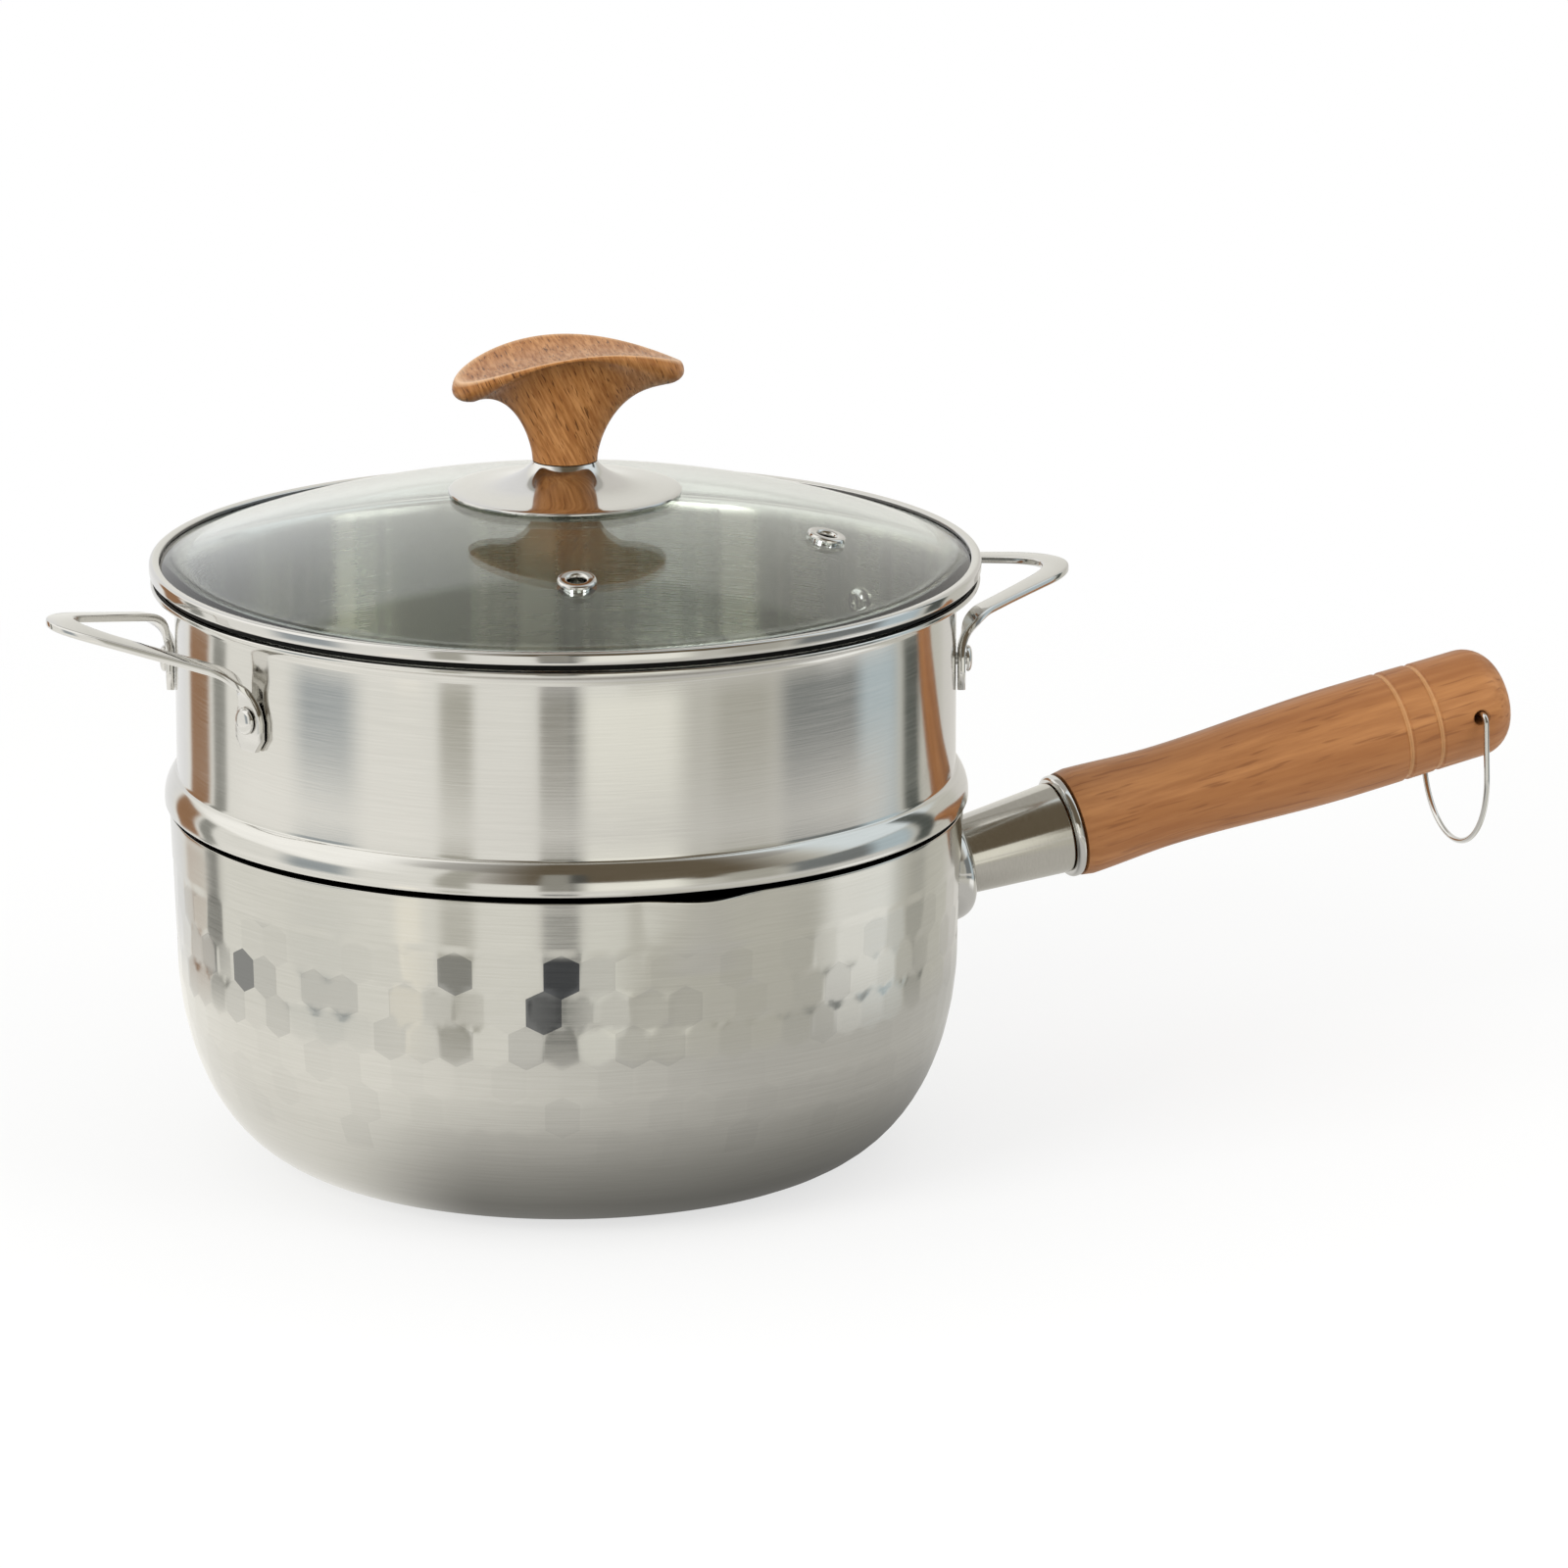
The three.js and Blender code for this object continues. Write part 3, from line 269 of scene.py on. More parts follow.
# Painted shade in the groove under the lid's bead, between these radii and heights
RIM_GAP_RADII = (103.4, 104.7)
RIM_GAP_HEIGHTS = (150.6, 152.3)
RIM_GAP_SOFT = 0.1
POCKET_RADIUS = 103.3
POCKET_FLOOR = 151.5
POCKET_TOP = 154.4
GLASS_RADIUS = 103.1
GLASS_FLOOR = 151.8
GLASS_THICKNESS = 3.5
GLASS_EDGE = 0.8
GLASS_EDGE_ROUND = 0.7
GLASS_RINGS = 24
GLASS_RINGS_END = 1  # how far inside the edge the dome's rings end
DOME_RADIUS = 287.06
DOME_CROWN = 173.1
DOME_CENTRE = DOME_CROWN - DOME_RADIUS
VENT_AT = 69
VENT_TURNS = {"front": -107.4, "side": -38.2}
EYELET_HOLE = 2.3
EYELET_BARREL = 3
EYELET_FLANGE = 4.9
EYELET_RISE = 0.9
EYELET_BULGE = 1.3
EYELET_FLAT = 0.2
EYELET_INTO = 0.6
EYELET_STEPS = 48

# Knob and its fixing
FIT = 0.3
SKIRT_DISC = 29.5
SKIRT_EDGE = 1.2
SKIRT_LOW_ROUND = 0.3
SKIRT_HIGH_ROUND = 0.4
SKIRT_LEAD = 1  # from the disc's edge in to where its top starts to rise
SKIRT_LEAD_RISE = 0.2
SKIRT_EDGE_RISE = 0.25
SKIRT_UNDER_EDGE = 2
SKIRT_SHEET = 0.8
SKIRT_TOP = 180
SKIRT_WAIST = 3  # from the neck out to where the disc would meet it
SKIRT_WAIST_HEIGHT = 175
SKIRT_FILLET = 12.5
SKIRT_NECK_DROP = 0.1  # from the neck's underside to where its inner bend starts
SKIRT_STEPS = 144
KNOB_BOTTOM = 180.3
KNOB_TURN = math.radians(-23)
KNOB_NECK = 8.2
KNOB_LONG = 29.3
KNOB_WIDE = 18.6
KNOB_SHIFT = 0.9  # how far the top lies along its length from the neck
KNOB_END_RISE = 17.4
KNOB_SIDE_RISE = 28.5
KNOB_END_THICK = 6
KNOB_END_ROUND = 4.5
KNOB_TOP_INSET = KNOB_END_ROUND / 3
KNOB_SIDE_THICK = 0.8
KNOB_EDGE = 0.4
KNOB_DISH = 2.6
KNOB_TWIST = 0.0056
KNOB_TILT = 0.083
KNOB_BACK_DROP = 1
KNOB_SPREAD_POWER = 0.78
KNOB_RISE_POWER = 1.3
KNOB_SIDES = 128
KNOB_UNDER_STEPS = 30
KNOB_EDGE_STEPS = 12
KNOB_EDGE_PEAK = 0.72  # share of an end's thickness that curves out, before it curves back
KNOB_TOP_SCALES = (0.97, 0.92, 0.84, 0.74, 0.62, 0.48, 0.34, 0.2, 0.08, 0.01)
KNOB_GRAIN = Vector((0.876, -0.175, 0.44))  # square to the layers of the grain
KNOB_RIM_HIGHLIGHT = "rim_highlight"  # marks the rim round the knob's top, where a highlight is painted as the lacquer would catch the light
KNOB_HIGHLIGHT_RINGS = 3
FIXING_BORE = 2.8
GLASS_BORE = 4.5
BOLT_HEAD = 4.5
BOLT_SIDES = 6
BOLT_LOW = 163
BOLT_SEAT = 166
BOLT_EDGE = 0.4
BOLT_RADIUS = 2.5
BOLT_SHANK_END = 195
BOLT_TIP = 195.3
BOLT_TIP_RADIUS = 2.2
BOLT_STEPS = 32
RING_EDGE = 0.3
RING_STEPS = 72
WASHER_RADIUS = 9
WASHER_HEIGHTS = (166.3, 167.5)
GASKET_RADIUS = 8.5
GASKET_HEIGHTS = (167.8, 169.3)
BUSH_RADIUS = 6
BUSH_HEIGHTS = (173.4, 178.9)

# Finishes: two tones for a steel, and four for a wood, its pale, its dark, its fibres' and its pores'
HAMMERED_TONES = (0.56, 0.55, 0.51), (0.68, 0.67, 0.63)
STEAMER_TONES = (0.62, 0.61, 0.58), (0.73, 0.72, 0.69)
# Inside the steamer: its dull tone, and the pale of its painted sheen
SHEEN_STREAK_TONES = (0.50, 0.50, 0.45), (1.0, 0.98, 0.86)
BAND_TONES = (0.64, 0.63, 0.61), (0.72, 0.71, 0.69)
BRIGHT_TONES = (0.66, 0.65, 0.63), (0.72, 0.71, 0.69)
SATIN_TONES = (0.54, 0.52, 0.47), (0.66, 0.64, 0.59)
BEECH_TONES = (0.48, 0.215, 0.074), (0.33, 0.13, 0.038), (0.27, 0.095, 0.026), (0.16, 0.05, 0.014)
BEECH_CELL = (0.12, 0.009, 0.009)  # metres along and across the grain
# Painted highlight in the grip's grooves, and how much of it
GROOVE_HIGHLIGHT_TONE = (0.66, 0.39, 0.18)
GROOVE_HIGHLIGHT_SHARE = 0.55
KNOB_TONES = (0.56, 0.27, 0.095), (0.42, 0.18, 0.052), (0.26, 0.095, 0.025), (0.085, 0.027, 0.007)
KNOB_CELL = (0.0036, 0.032, 0.032)
GRAIN_SPREAD = (0.3, 0.7)  # of the noise, between which a band or a fibre comes in
PORE_SPREAD = (0.60, 0.72)
PORES_TO_FIBRES = 1.7  # how much finer the pores are
# Painted highlight on the knob's rim, and how much of it
RIM_HIGHLIGHT_TONE = (0.90, 0.62, 0.38)
RIM_HIGHLIGHT_SHARE = 0.65
SILICONE_TONES = (0.55, 0.57, 0.56), (0.68, 0.70, 0.69)
SILICONE_ROUGH = (0.5, 0.7)
GLASS_TINT = (0.93, 0.975, 0.96)
GLASS_IOR = 1.5
GLASS_SMUDGE = (0.45, 0.75)  # of the noise, between which a smudge comes in
GLASS_DULL = 0.03  # roughness of the glass in a smudge
# Near-black shade painted into the gaps under the steamer's lip and under the lid's bead
GAP_SHADE_TONE = (0.012, 0.012, 0.012)
GROOVE_DULL = 0.4  # roughness added in the groove under the lid's bead
INSIDE_DULL = (0.13, 0.17)  # roughness added inside the steamer, between and on its streaks
HIGHLIGHT_STREAKS = ((-177.5, -171), (-145, -140.5), (150.5, 157))  # painted highlights inside the steamer's far wall, by bearing
STREAK_SOFT = 1.5
STREAK_SPREAD = (0.42, 0.66)  # of the noise, between which a streak comes in
STREAK_MOST = 0.6
STEEL_TONE = 0.35  # share of the second tone at a line of middling depth
STEEL_SPREAD = (0.2, 0.8)  # of that share, between which the first roughness turns to the second
SMUDGE_SHARE = 0.3
FLAT_LINES = 0.7  # how close lines lie on a level face, set against an upright one
BRUSHED_ROUND = 0.25  # of a turn, so that reflections stretch across the lines

# Pale room round the object, as metal sees it: bearing from the camera and half width in degrees,
# softness, lowest and highest elevation, and colour
ROOM_LEFT = (0.98, 0.97, 0.92)
ROOM_RIGHT = (0.66, 0.65, 0.59)
ROOM_SIDES = (-0.26, 0.47)  # sines of the bearings between which left turns to right
ROOM_TOP = (0.50, 0.49, 0.46)
ROOM_PANELS = (
    (0, 200, 2, 40, 200, ROOM_TOP),
    (-95, 40, 30, 15, 90, (1.25, 1.24, 1.20)),
    (110, 25, 20, 15, 90, (0.90, 0.98, 1.02)),
    (22, 46, 36, 7, 90, (0.15, 0.12, 0.08)),
    (-160, 12, 8, -60, 40, (0.90, 0.90, 0.90)),
    (-137, 8, 4, -16, 12, (0.36, 0.20, 0.11)),
    (-122, 4, 3, -16, 12, (0.34, 0.34, 0.31)),
    (-126, 4, 3, -21, -16.5, (0.18, 0.18, 0.17)),
    (-74, 11, 11, -16, 12, (0.42, 0.46, 0.48)),
    (-46, 4, 4, -21, -16.5, (1.30, 1.24, 1.10)),
    (-31, 5, 4, -21, 40, (0.50, 0.49, 0.43)),
    (-1.5, 5, 2, -16.5, 40, (0.36, 0.35, 0.31)),
    (4.6, 2.6, 1, -16.5, 40, (0.09, 0.09, 0.08)),
    (-0.5, 5.5, 2, -21, -16.5, (0.07, 0.075, 0.08)),
    (20, 15, 10, -16, 14, (1.1, 1.09, 1.0)),
    (12, 7, 4, -21, -16.5, (1.05, 1.05, 1.0)),
    (55, 9, 8, -16, 14, (0.50, 0.49, 0.43)),
    (90, 23, 8, -16, 14, (0.22, 0.235, 0.235)),
    (106, 9, 9, -16, 14, (0.55, 0.65, 0.70)),
    (98, 15, 12, -60, -16, (1.15, 1.15, 1.12)),
    (124, 5, 4, -16, 30, (0.10, 0.11, 0.10)),
    (160, 12, 8, -60, 40, (0.75, 0.73, 0.69)),
)
PANEL_SOFTNESS = 1.5  # of a panel's lower and upper edge
AMBIENT_TOP = 1.0
AMBIENT_SIDE = 0.62
AMBIENT_RISE = (-0.1, 0.7)  # sines of the elevations between which side turns to top
WHITE = (1, 1, 1, 1)

# Floor, with its distances from the pan's middle in metres, except for its own radius
FLOOR_RADIUS = 700
FLOOR_STEPS = 96
FLOOR_FADE = (0.45, 0.65)
FLOOR_PAINT = (0.88, 0.88, 0.87)
FLOOR_GLOW = 0.68  # share of plain white in what the camera sees of it
FLOOR_TINT = (1.0, 0.985, 0.94)
FLOOR_SHADE_BY_DISTANCE = ((0.08, 0.24), (0.096, 0.40), (0.112, 0.58), (0.130, 0.75), (0.157, 0.90))  # glow that metal sees, by distance: the pan's shadow painted in, darkest near the pan
# Painted light and shade on the floor as metal shows it: lighter on the left, darker on the right
FLOOR_LEFT = 1.1
FLOOR_RIGHT = 0.68
FLOOR_RIGHT_FAR = 0.84
FLOOR_RIGHT_REACH = (0.34, 0.42)  # between which the right turns to the far right
FLOOR_SIDES = (-0.7, 0.85)  # sines of the bearings between which left turns to right
FLOOR_LEFT_LIFT = 0.75
FLOOR_LIFT_SIDES = (-0.85, -0.25)
FLOOR_NEAR = (0.20, 0.27)  # where the near part ends
FLOOR_RING_START = (0.38, 0.44)
FLOOR_RING_END = (0.51, 0.585)
FLOOR_RING_BEARINGS = (92, 112)
LAMP_AIM = Vector((0, 0, 0.1))


# Mesh helpers

def ease(share):
    t = min(max(share, 0), 1)
    return t * t * (3 - 2 * t)


def mixed(a, b, share):
    return a + (b - a) * share


def bend(start, control, end, steps=8):
    """Points of a smooth bend from start to end, drawn towards control"""
    start, control, end = Vector(start), Vector(control), Vector(end)
    shares = [i / steps for i in range(steps + 1)]
    return [start * (1 - t) ** 2 + control * 2 * t * (1 - t) + end * t * t for t in shares]


def rounded(corners, steps=4):
    """A section of (radius, height, rounding) corners, with its corners rounded"""
    points = []
    for i, (x, y, rounding) in enumerate(corners):
        here = Vector((x, y))
        if not rounding:
            points.append(here)
            continue
        before = Vector(corners[i - 1][:2]) - here
        after = Vector(corners[(i + 1) % len(corners)][:2]) - here
        reach = rounding / math.tan(before.angle(after) / 2)
        reach = min(reach, before.length * EDGE_SHARE, after.length * EDGE_SHARE)
        points += bend(here + before.normalized() * reach, here, here + after.normalized() * reach, steps)
    return points


def turned(section, steps, closed=True):
    """A section of radius and height points, spun about Z"""
    bm = bmesh.new()
    verts = [bm.verts.new((point[0], 0, point[1])) for point in section]
    pairs = list(zip(verts, verts[1:]))
    if closed:
        pairs.append((verts[-1], verts[0]))
    edges = [bm.edges.new(pair) for pair in pairs]
    bmesh.ops.spin(bm, geom=verts + edges, axis=(0, 0, 1), cent=(0, 0, 0), steps=steps,
                   angle=FULL_TURN, use_merge=True)
    return bm


def tube(sides, rings):
    """A stack of unit rings, one for each whole height, to be given its shape by moving its vertices"""
    bm = bmesh.new()
    bmesh.ops.create_circle(bm, segments=sides, radius=1)
    edges = list(bm.edges)
    for _ in range(rings - 1):
        made = bmesh.ops.extrude_edge_only(bm, edges=edges)["geom"]
        edges = [item for item in made if isinstance(item, bmesh.types.BMEdge)]
        verts = [item for item in made if isinstance(item, bmesh.types.BMVert)]
        bmesh.ops.translate(bm, vec=(0, 0, 1), verts=verts)
    bmesh.ops.holes_fill(bm, edges=[edge for edge in bm.edges if edge.is_boundary], sides=0)
    return bm


def swept(section, stations):
    """A section carried along stations: a place, a direction across, one through and a bar's width"""
    bm = tube(len(section), len(stations))
    for vert in bm.verts:
        turn = math.atan2(vert.co.y, vert.co.x) % FULL_TURN
        across, through = section[round(turn / FULL_TURN * len(section)) % len(section)]
        place, side, face, width = stations[round(vert.co.z)]
        half = max(width / 2 - LOOP_EDGE, 0)
        reach = across + math.copysign(half, across)
        vert.co = place + side * reach + face * through
    return bm


def moved(bm, matrix):
    bmesh.ops.transform(bm, matrix=matrix, verts=bm.verts)
    return bm


def rod(radius, low, high, steps=24):
    return turned(((0, low), (radius, low), (radius, high), (0, high)), steps, closed=False)


def cleaned(bm):
    bmesh.ops.remove_doubles(bm, verts=bm.verts, dist=DOUBLES)
    bmesh.ops.recalc_face_normals(bm, faces=bm.faces)
    return bm


def scratch_object(bm):
    mesh = bpy.data.meshes.new("scratch")
    cleaned(bm).to_mesh(mesh)
    bm.free()
    made = bpy.data.objects.new("scratch", mesh)
    bpy.context.scene.collection.objects.link(made)
    return made


def take_in(bm, other):
    """Puts another shape into this one, beside what it holds"""
    mesh = bpy.data.meshes.new("scratch")
    other.to_mesh(mesh)
    other.free()
    bm.from_mesh(mesh)
    bpy.data.meshes.remove(mesh)


def cut(bm, tools):
    """The body with the tools' solids taken away"""
    joined = bmesh.new()
    for tool in tools:
        take_in(joined, tool)
    body, cutter = scratch_object(bm), scratch_object(joined)
    difference = body.modifiers.new("cut", "BOOLEAN")
    difference.operation = "DIFFERENCE"
    difference.solver = "EXACT"
    difference.object = cutter
    shaped = body.evaluated_get(bpy.context.evaluated_depsgraph_get())
    result = bmesh.new()
    result.from_mesh(shaped.to_mesh())
    for done in (body, cutter):
        bpy.data.meshes.remove(done.data)
    return result


def piece(name, bm, body, node, material, sharp=35):
    """The finished object: cleaned, in metres, smooth, riding on its body in place of its node"""
    cleaned(bm)
    bmesh.ops.scale(bm, vec=(MM, MM, MM), verts=bm.verts)
    mesh = bpy.data.meshes.new(name)
    bm.to_mesh(mesh)
    bm.free()
    mesh.shade_smooth()
    mesh.set_sharp_from_angle(angle=math.radians(sharp))
    mesh.materials.append(material)
    made = bpy.data.objects.new(name, mesh)
    bpy.context.scene.collection.objects.link(made)
    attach(made, body)
    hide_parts(node)


# Node helpers

def add(tree, kind, inputs=(), **settings):
    made = tree.nodes.new("ShaderNode" + kind)
    for name, value in settings.items():
        setattr(made, name, value)
    for key, value in dict(inputs).items():
        if isinstance(value, bpy.types.NodeSocket):
            tree.links.new(value, made.inputs[key])
        else:
            made.inputs[key].default_value = value
    return made


def math_node(tree, operation, *values):
    return add(tree, "Math", enumerate(values), operation=operation).outputs[0]


def ramped(tree, value, low, high, bottom=0.0, top=1.0, kind="SMOOTHSTEP"):
    """The value between low and high, mapped to bottom and top"""
    sockets = {"Value": value, "From Min": low, "From Max": high, "To Min": bottom, "To Max": top}
    return add(tree, "MapRange", sockets, interpolation_type=kind).outputs["Result"]


def mix_colour(tree, share, a, b):
    sockets = {0: share, 6: a, 7: b}
    return add(tree, "Mix", sockets, data_type="RGBA", clamp_factor=True).outputs[2]


def rgba(colour):
    return (*colour, 1)


def level_part(tree, place):
    """A place with its height taken away"""
    return add(tree, "VectorMath", {0: place, 1: (1, 1, 0)}, operation="MULTIPLY").outputs[0]


def height_of(tree, place):
    return add(tree, "SeparateXYZ", {0: place}).outputs[2]


def length_of(tree, vector):
    return add(tree, "VectorMath", {0: vector}, operation="LENGTH").outputs["Value"]


def new_group(name, inputs, outputs):
    """A node group with a vector input, and values for its other inputs and for its outputs"""
    group = bpy.data.node_groups.new(name, "ShaderNodeTree")
    group.interface.new_socket(name="Vector", in_out="INPUT", socket_type="NodeSocketVector")
    for label in inputs:
        group.interface.new_socket(name=label, in_out="INPUT", socket_type="NodeSocketFloat")
    for label in outputs:
        group.interface.new_socket(name=label, in_out="OUTPUT", socket_type="NodeSocketFloat")
    start = group.nodes.new("NodeGroupInput")
    end = group.nodes.new("NodeGroupOutput")
    return group, start, end


def turned_marks():
    """Fine lines that run round Z, as turning and brushing leave them, and faint larger smudges"""
    group, start, end = new_group("turned_marks", ("Lines", "Round"), ("Lines", "Smudge"))
    place = start.outputs["Vector"]
    flat = level_part(group, place)
    round_way = add(group, "VectorMath", {0: flat}, operation="NORMALIZE").outputs[0]
    round_way = add(group, "VectorMath", {0: round_way, "Scale": start.outputs["Round"]},
                    operation="SCALE").outputs[0]
    up = math_node(group, "MULTIPLY_ADD", length_of(group, flat), FLAT_LINES, height_of(group, place))
    up = math_node(group, "MULTIPLY", up, start.outputs["Lines"])
    lift = add(group, "CombineXYZ", {2: up}).outputs[0]
    where = add(group, "VectorMath", {0: round_way, 1: lift}, operation="ADD").outputs[0]
    lines = add(group, "TexNoise", {"Vector": where, "Scale": 1.0, "Detail": 3.0, "Roughness": 0.65})
    smudge = add(group, "TexNoise", {"Vector": place, "Scale": 38.0, "Detail": 2.0, "Roughness": 0.5})
    group.links.new(lines.outputs["Fac"], end.inputs["Lines"])
    group.links.new(smudge.outputs["Fac"], end.inputs["Smudge"])
    return group


def wood_grain():
    """Bands, fibres and short dark pores of wood, on coordinates stretched along its grain"""
    group, start, end = new_group("wood_grain", ("Bands", "Fibres"), ("Bands", "Fibres", "Pores"))
    place = start.outputs["Vector"]
    bands = add(group, "TexNoise", {"Vector": place, "Scale": start.outputs["Bands"], "Detail": 3.0,
                                    "Roughness": 0.55, "Distortion": 0.5})
    fibres = add(group, "TexNoise", {"Vector": place, "Scale": start.outputs["Fibres"], "Detail": 3.0,
                                     "Roughness": 0.6})
    pore_scale = math_node(group, "MULTIPLY", start.outputs["Fibres"], PORES_TO_FIBRES)
    pores = add(group, "TexNoise", {"Vector": place, "Scale": pore_scale, "Detail": 1.0})
    group.links.new(ramped(group, bands.outputs["Fac"], *GRAIN_SPREAD), end.inputs["Bands"])
    group.links.new(ramped(group, fibres.outputs["Fac"], *GRAIN_SPREAD), end.inputs["Fibres"])
    group.links.new(ramped(group, pores.outputs["Fac"], *PORE_SPREAD), end.inputs["Pores"])
    return group


def painted_gap_shade():
    """A mask of a ring round Z that lies in a narrow gap, by its middle radius and height, where shade is
    painted in
    """
    group, start, end = new_group("painted_gap_shade", ("Radius", "Half Width", "Height", "Half Height", "Soft"),
                                  ("Mask",))
    place = start.outputs["Vector"]
    radius = length_of(group, level_part(group, place))
    sides = (radius, "Radius", "Half Width"), (height_of(group, place), "Height", "Half Height")
    masks = []
    for value, middle, half in sides:
        away = math_node(group, "SUBTRACT", value, start.outputs[middle])
        past = math_node(group, "SUBTRACT", math_node(group, "ABSOLUTE", away), start.outputs[half])
        past = math_node(group, "DIVIDE", past, start.outputs["Soft"])
        masks.append(ramped(group, past, -1.0, 1.0, 1.0, 0.0))
    group.links.new(math_node(group, "MULTIPLY", *masks), end.inputs["Mask"])
    return group


def new_material(name):
    material = bpy.data.materials.new(name)
    material.use_nodes = True
    tree = material.node_tree
    tree.nodes.clear()
    shader = add(tree, "BsdfPrincipled")
    output = add(tree, "OutputMaterial")
    tree.links.new(shader.outputs[0], output.inputs["Surface"])
    place = add(tree, "TexCoord").outputs["Object"]
    return material, tree, shader, place


def placed_group(tree, group, **inputs):
    return add(tree, "Group", inputs, node_tree=group)


def bumped(tree, shader, height, strength, distance):
    bump = add(tree, "Bump", {"Strength": strength, "Distance": distance, "Height": height})
    tree.links.new(bump.outputs[0], shader.inputs["Normal"])


# Materials

def bearing_of(tree, way):
    """The bearing of a direction or a place from the camera's, in degrees, positive to the right"""
    sockets = {"Vector": way, "Rotation": (0, 0, QUARTER_TURN - VIEW_AZIMUTH)}
    turned_way = add(tree, "Mapping", sockets).outputs[0]
    split = add(tree, "SeparateXYZ", {0: turned_way})
    return math_node(tree, "DEGREES", math_node(tree, "ARCTAN2", split.outputs[1], split.outputs[0]))


def laid_along(tree, place, turn, centre, cell):
    """Coordinates centred on a piece, turned to lie along it, in cells of a size"""
    sockets = {"Vector": place, "Location": centre, "Rotation": turn, "Scale": cell}
    return add(tree, "Mapping", sockets, vector_type="TEXTURE").outputs[0]


def within(tree, value, low, high, soft):
    """A mask of the values between low and high"""
    over = ramped(tree, value, low - soft, low + soft)
    under = ramped(tree, value, high - soft, high + soft, 1.0, 0.0)
    return math_node(tree, "MULTIPLY", over, under)


def gap_shade_mask(tree, gap, place, radii, heights, soft):
    """The painted gap shade's group, placed between two radii and two heights in millimetres"""
    sizes = {"Radius": sum(radii) / 2, "Half Width": (radii[1] - radii[0]) / 2, "Height": sum(heights) / 2,
             "Half Height": (heights[1] - heights[0]) / 2, "Soft": soft}
    inputs = {name: size * MM for name, size in sizes.items()}
    inputs["Vector"] = place
    return add(tree, "Group", inputs, node_tree=gap).outputs["Mask"]


def painted_sheen_streaks(tree, place, on_wall):
    """Painted sheen: pale and dull streaks that follow one another round the axis, as a drawn wall's sheen
    does, and painted highlights at set bearings
    """
    round_way = add(tree, "VectorMath", {0: level_part(tree, place)}, operation="NORMALIZE").outputs[0]
    streaks = add(tree, "TexNoise", {"Vector": round_way, "Scale": 5.5, "Detail": 3.0, "Roughness": 0.6})
    share = ramped(tree, streaks.outputs["Fac"], *STREAK_SPREAD, 0.0, STREAK_MOST)
    bearing = bearing_of(tree, place)
    for low, high in HIGHLIGHT_STREAKS:
        share = math_node(tree, "MAXIMUM", share, within(tree, bearing, low, high, STREAK_SOFT))
    share = math_node(tree, "MULTIPLY", share, on_wall)
    dull, pale = SHEEN_STREAK_TONES
    return share, mix_colour(tree, share, rgba(dull), rgba(pale))


def steel(name, marks, tones, rough, lines, contrast, stretch, on_handle=False):
    """Stainless steel with turned lines: tones are its two colours, rough its two roughnesses"""
    material, tree, shader, place = new_material(name)
    axis = "X" if on_handle else "Z"
    if on_handle:
        place = laid_along(tree, place, (0, HANDLE_TURN, 0), HANDLE_ROOT * MM, (1, 1, 1))
    seen = placed_group(tree, marks, Vector=place, Lines=lines, Round=5.0)
    tone = math_node(tree, "MULTIPLY_ADD", seen.outputs["Lines"], contrast, STEEL_TONE - contrast / 2)
    tone = math_node(tree, "MULTIPLY_ADD", seen.outputs["Smudge"], SMUDGE_SHARE, tone)
    colour = mix_colour(tree, tone, rgba(tones[0]), rgba(tones[1]))
    sheen = ramped(tree, tone, *STEEL_SPREAD, *rough, kind="LINEAR")
    tree.links.new(colour, shader.inputs["Base Color"])
    tree.links.new(sheen, shader.inputs["Roughness"])
    shader.inputs["Metallic"].default_value = 1
    shader.inputs["Anisotropic"].default_value = stretch
    shader.inputs["Anisotropic Rotation"].default_value = BRUSHED_ROUND
    way = add(tree, "Tangent", direction_type="RADIAL", axis=axis)
    tree.links.new(way.outputs[0], shader.inputs["Tangent"])
    bumped(tree, shader, seen.outputs["Lines"], strength=0.05, distance=0.0001)
    return material, tree, shader, place, colour, sheen


def facet_cells(tree, place):
    """The column and row of the hexagonal mark a point of the wall lies in, and its height in rows"""
    per_degree = HAMMER_COLUMNS / 360
    first = math.degrees(HAMMER_PHASE - VIEW_AZIMUTH + QUARTER_TURN)
    columns = math_node(tree, "MULTIPLY_ADD", bearing_of(tree, place), per_degree, -first * per_degree)
    rows = math_node(tree, "MULTIPLY_ADD", height_of(tree, place), -1 / (HAMMER_PITCH * MM),
                     HAMMER_TOP / HAMMER_PITCH)
    wide = FULL_TURN * PAN_RIM_RADIUS / HAMMER_COLUMNS / HAMMER_PITCH
    cells, gaps = [], []
    for odd in (0, 1):
        half_row = math_node(tree, "ROUND", math_node(tree, "MULTIPLY_ADD", rows, 0.5, -odd / 2))
        row = math_node(tree, "MULTIPLY_ADD", half_row, 2.0, odd)
        along = math_node(tree, "ADD", columns, odd / 2)
        column = math_node(tree, "ROUND", along)
        across = math_node(tree, "MULTIPLY", math_node(tree, "SUBTRACT", along, column), wide)
        off = add(tree, "CombineXYZ", {0: across, 1: math_node(tree, "SUBTRACT", rows, row)}).outputs[0]
        gaps.append(length_of(tree, off))
        cells.append(add(tree, "CombineXYZ", {0: column, 1: row}).outputs[0])
    even = math_node(tree, "LESS_THAN", gaps[0], gaps[1])
    cell = add(tree, "Mix", {0: even, 4: cells[1], 5: cells[0]}, data_type="VECTOR").outputs[1]
    return cell, rows


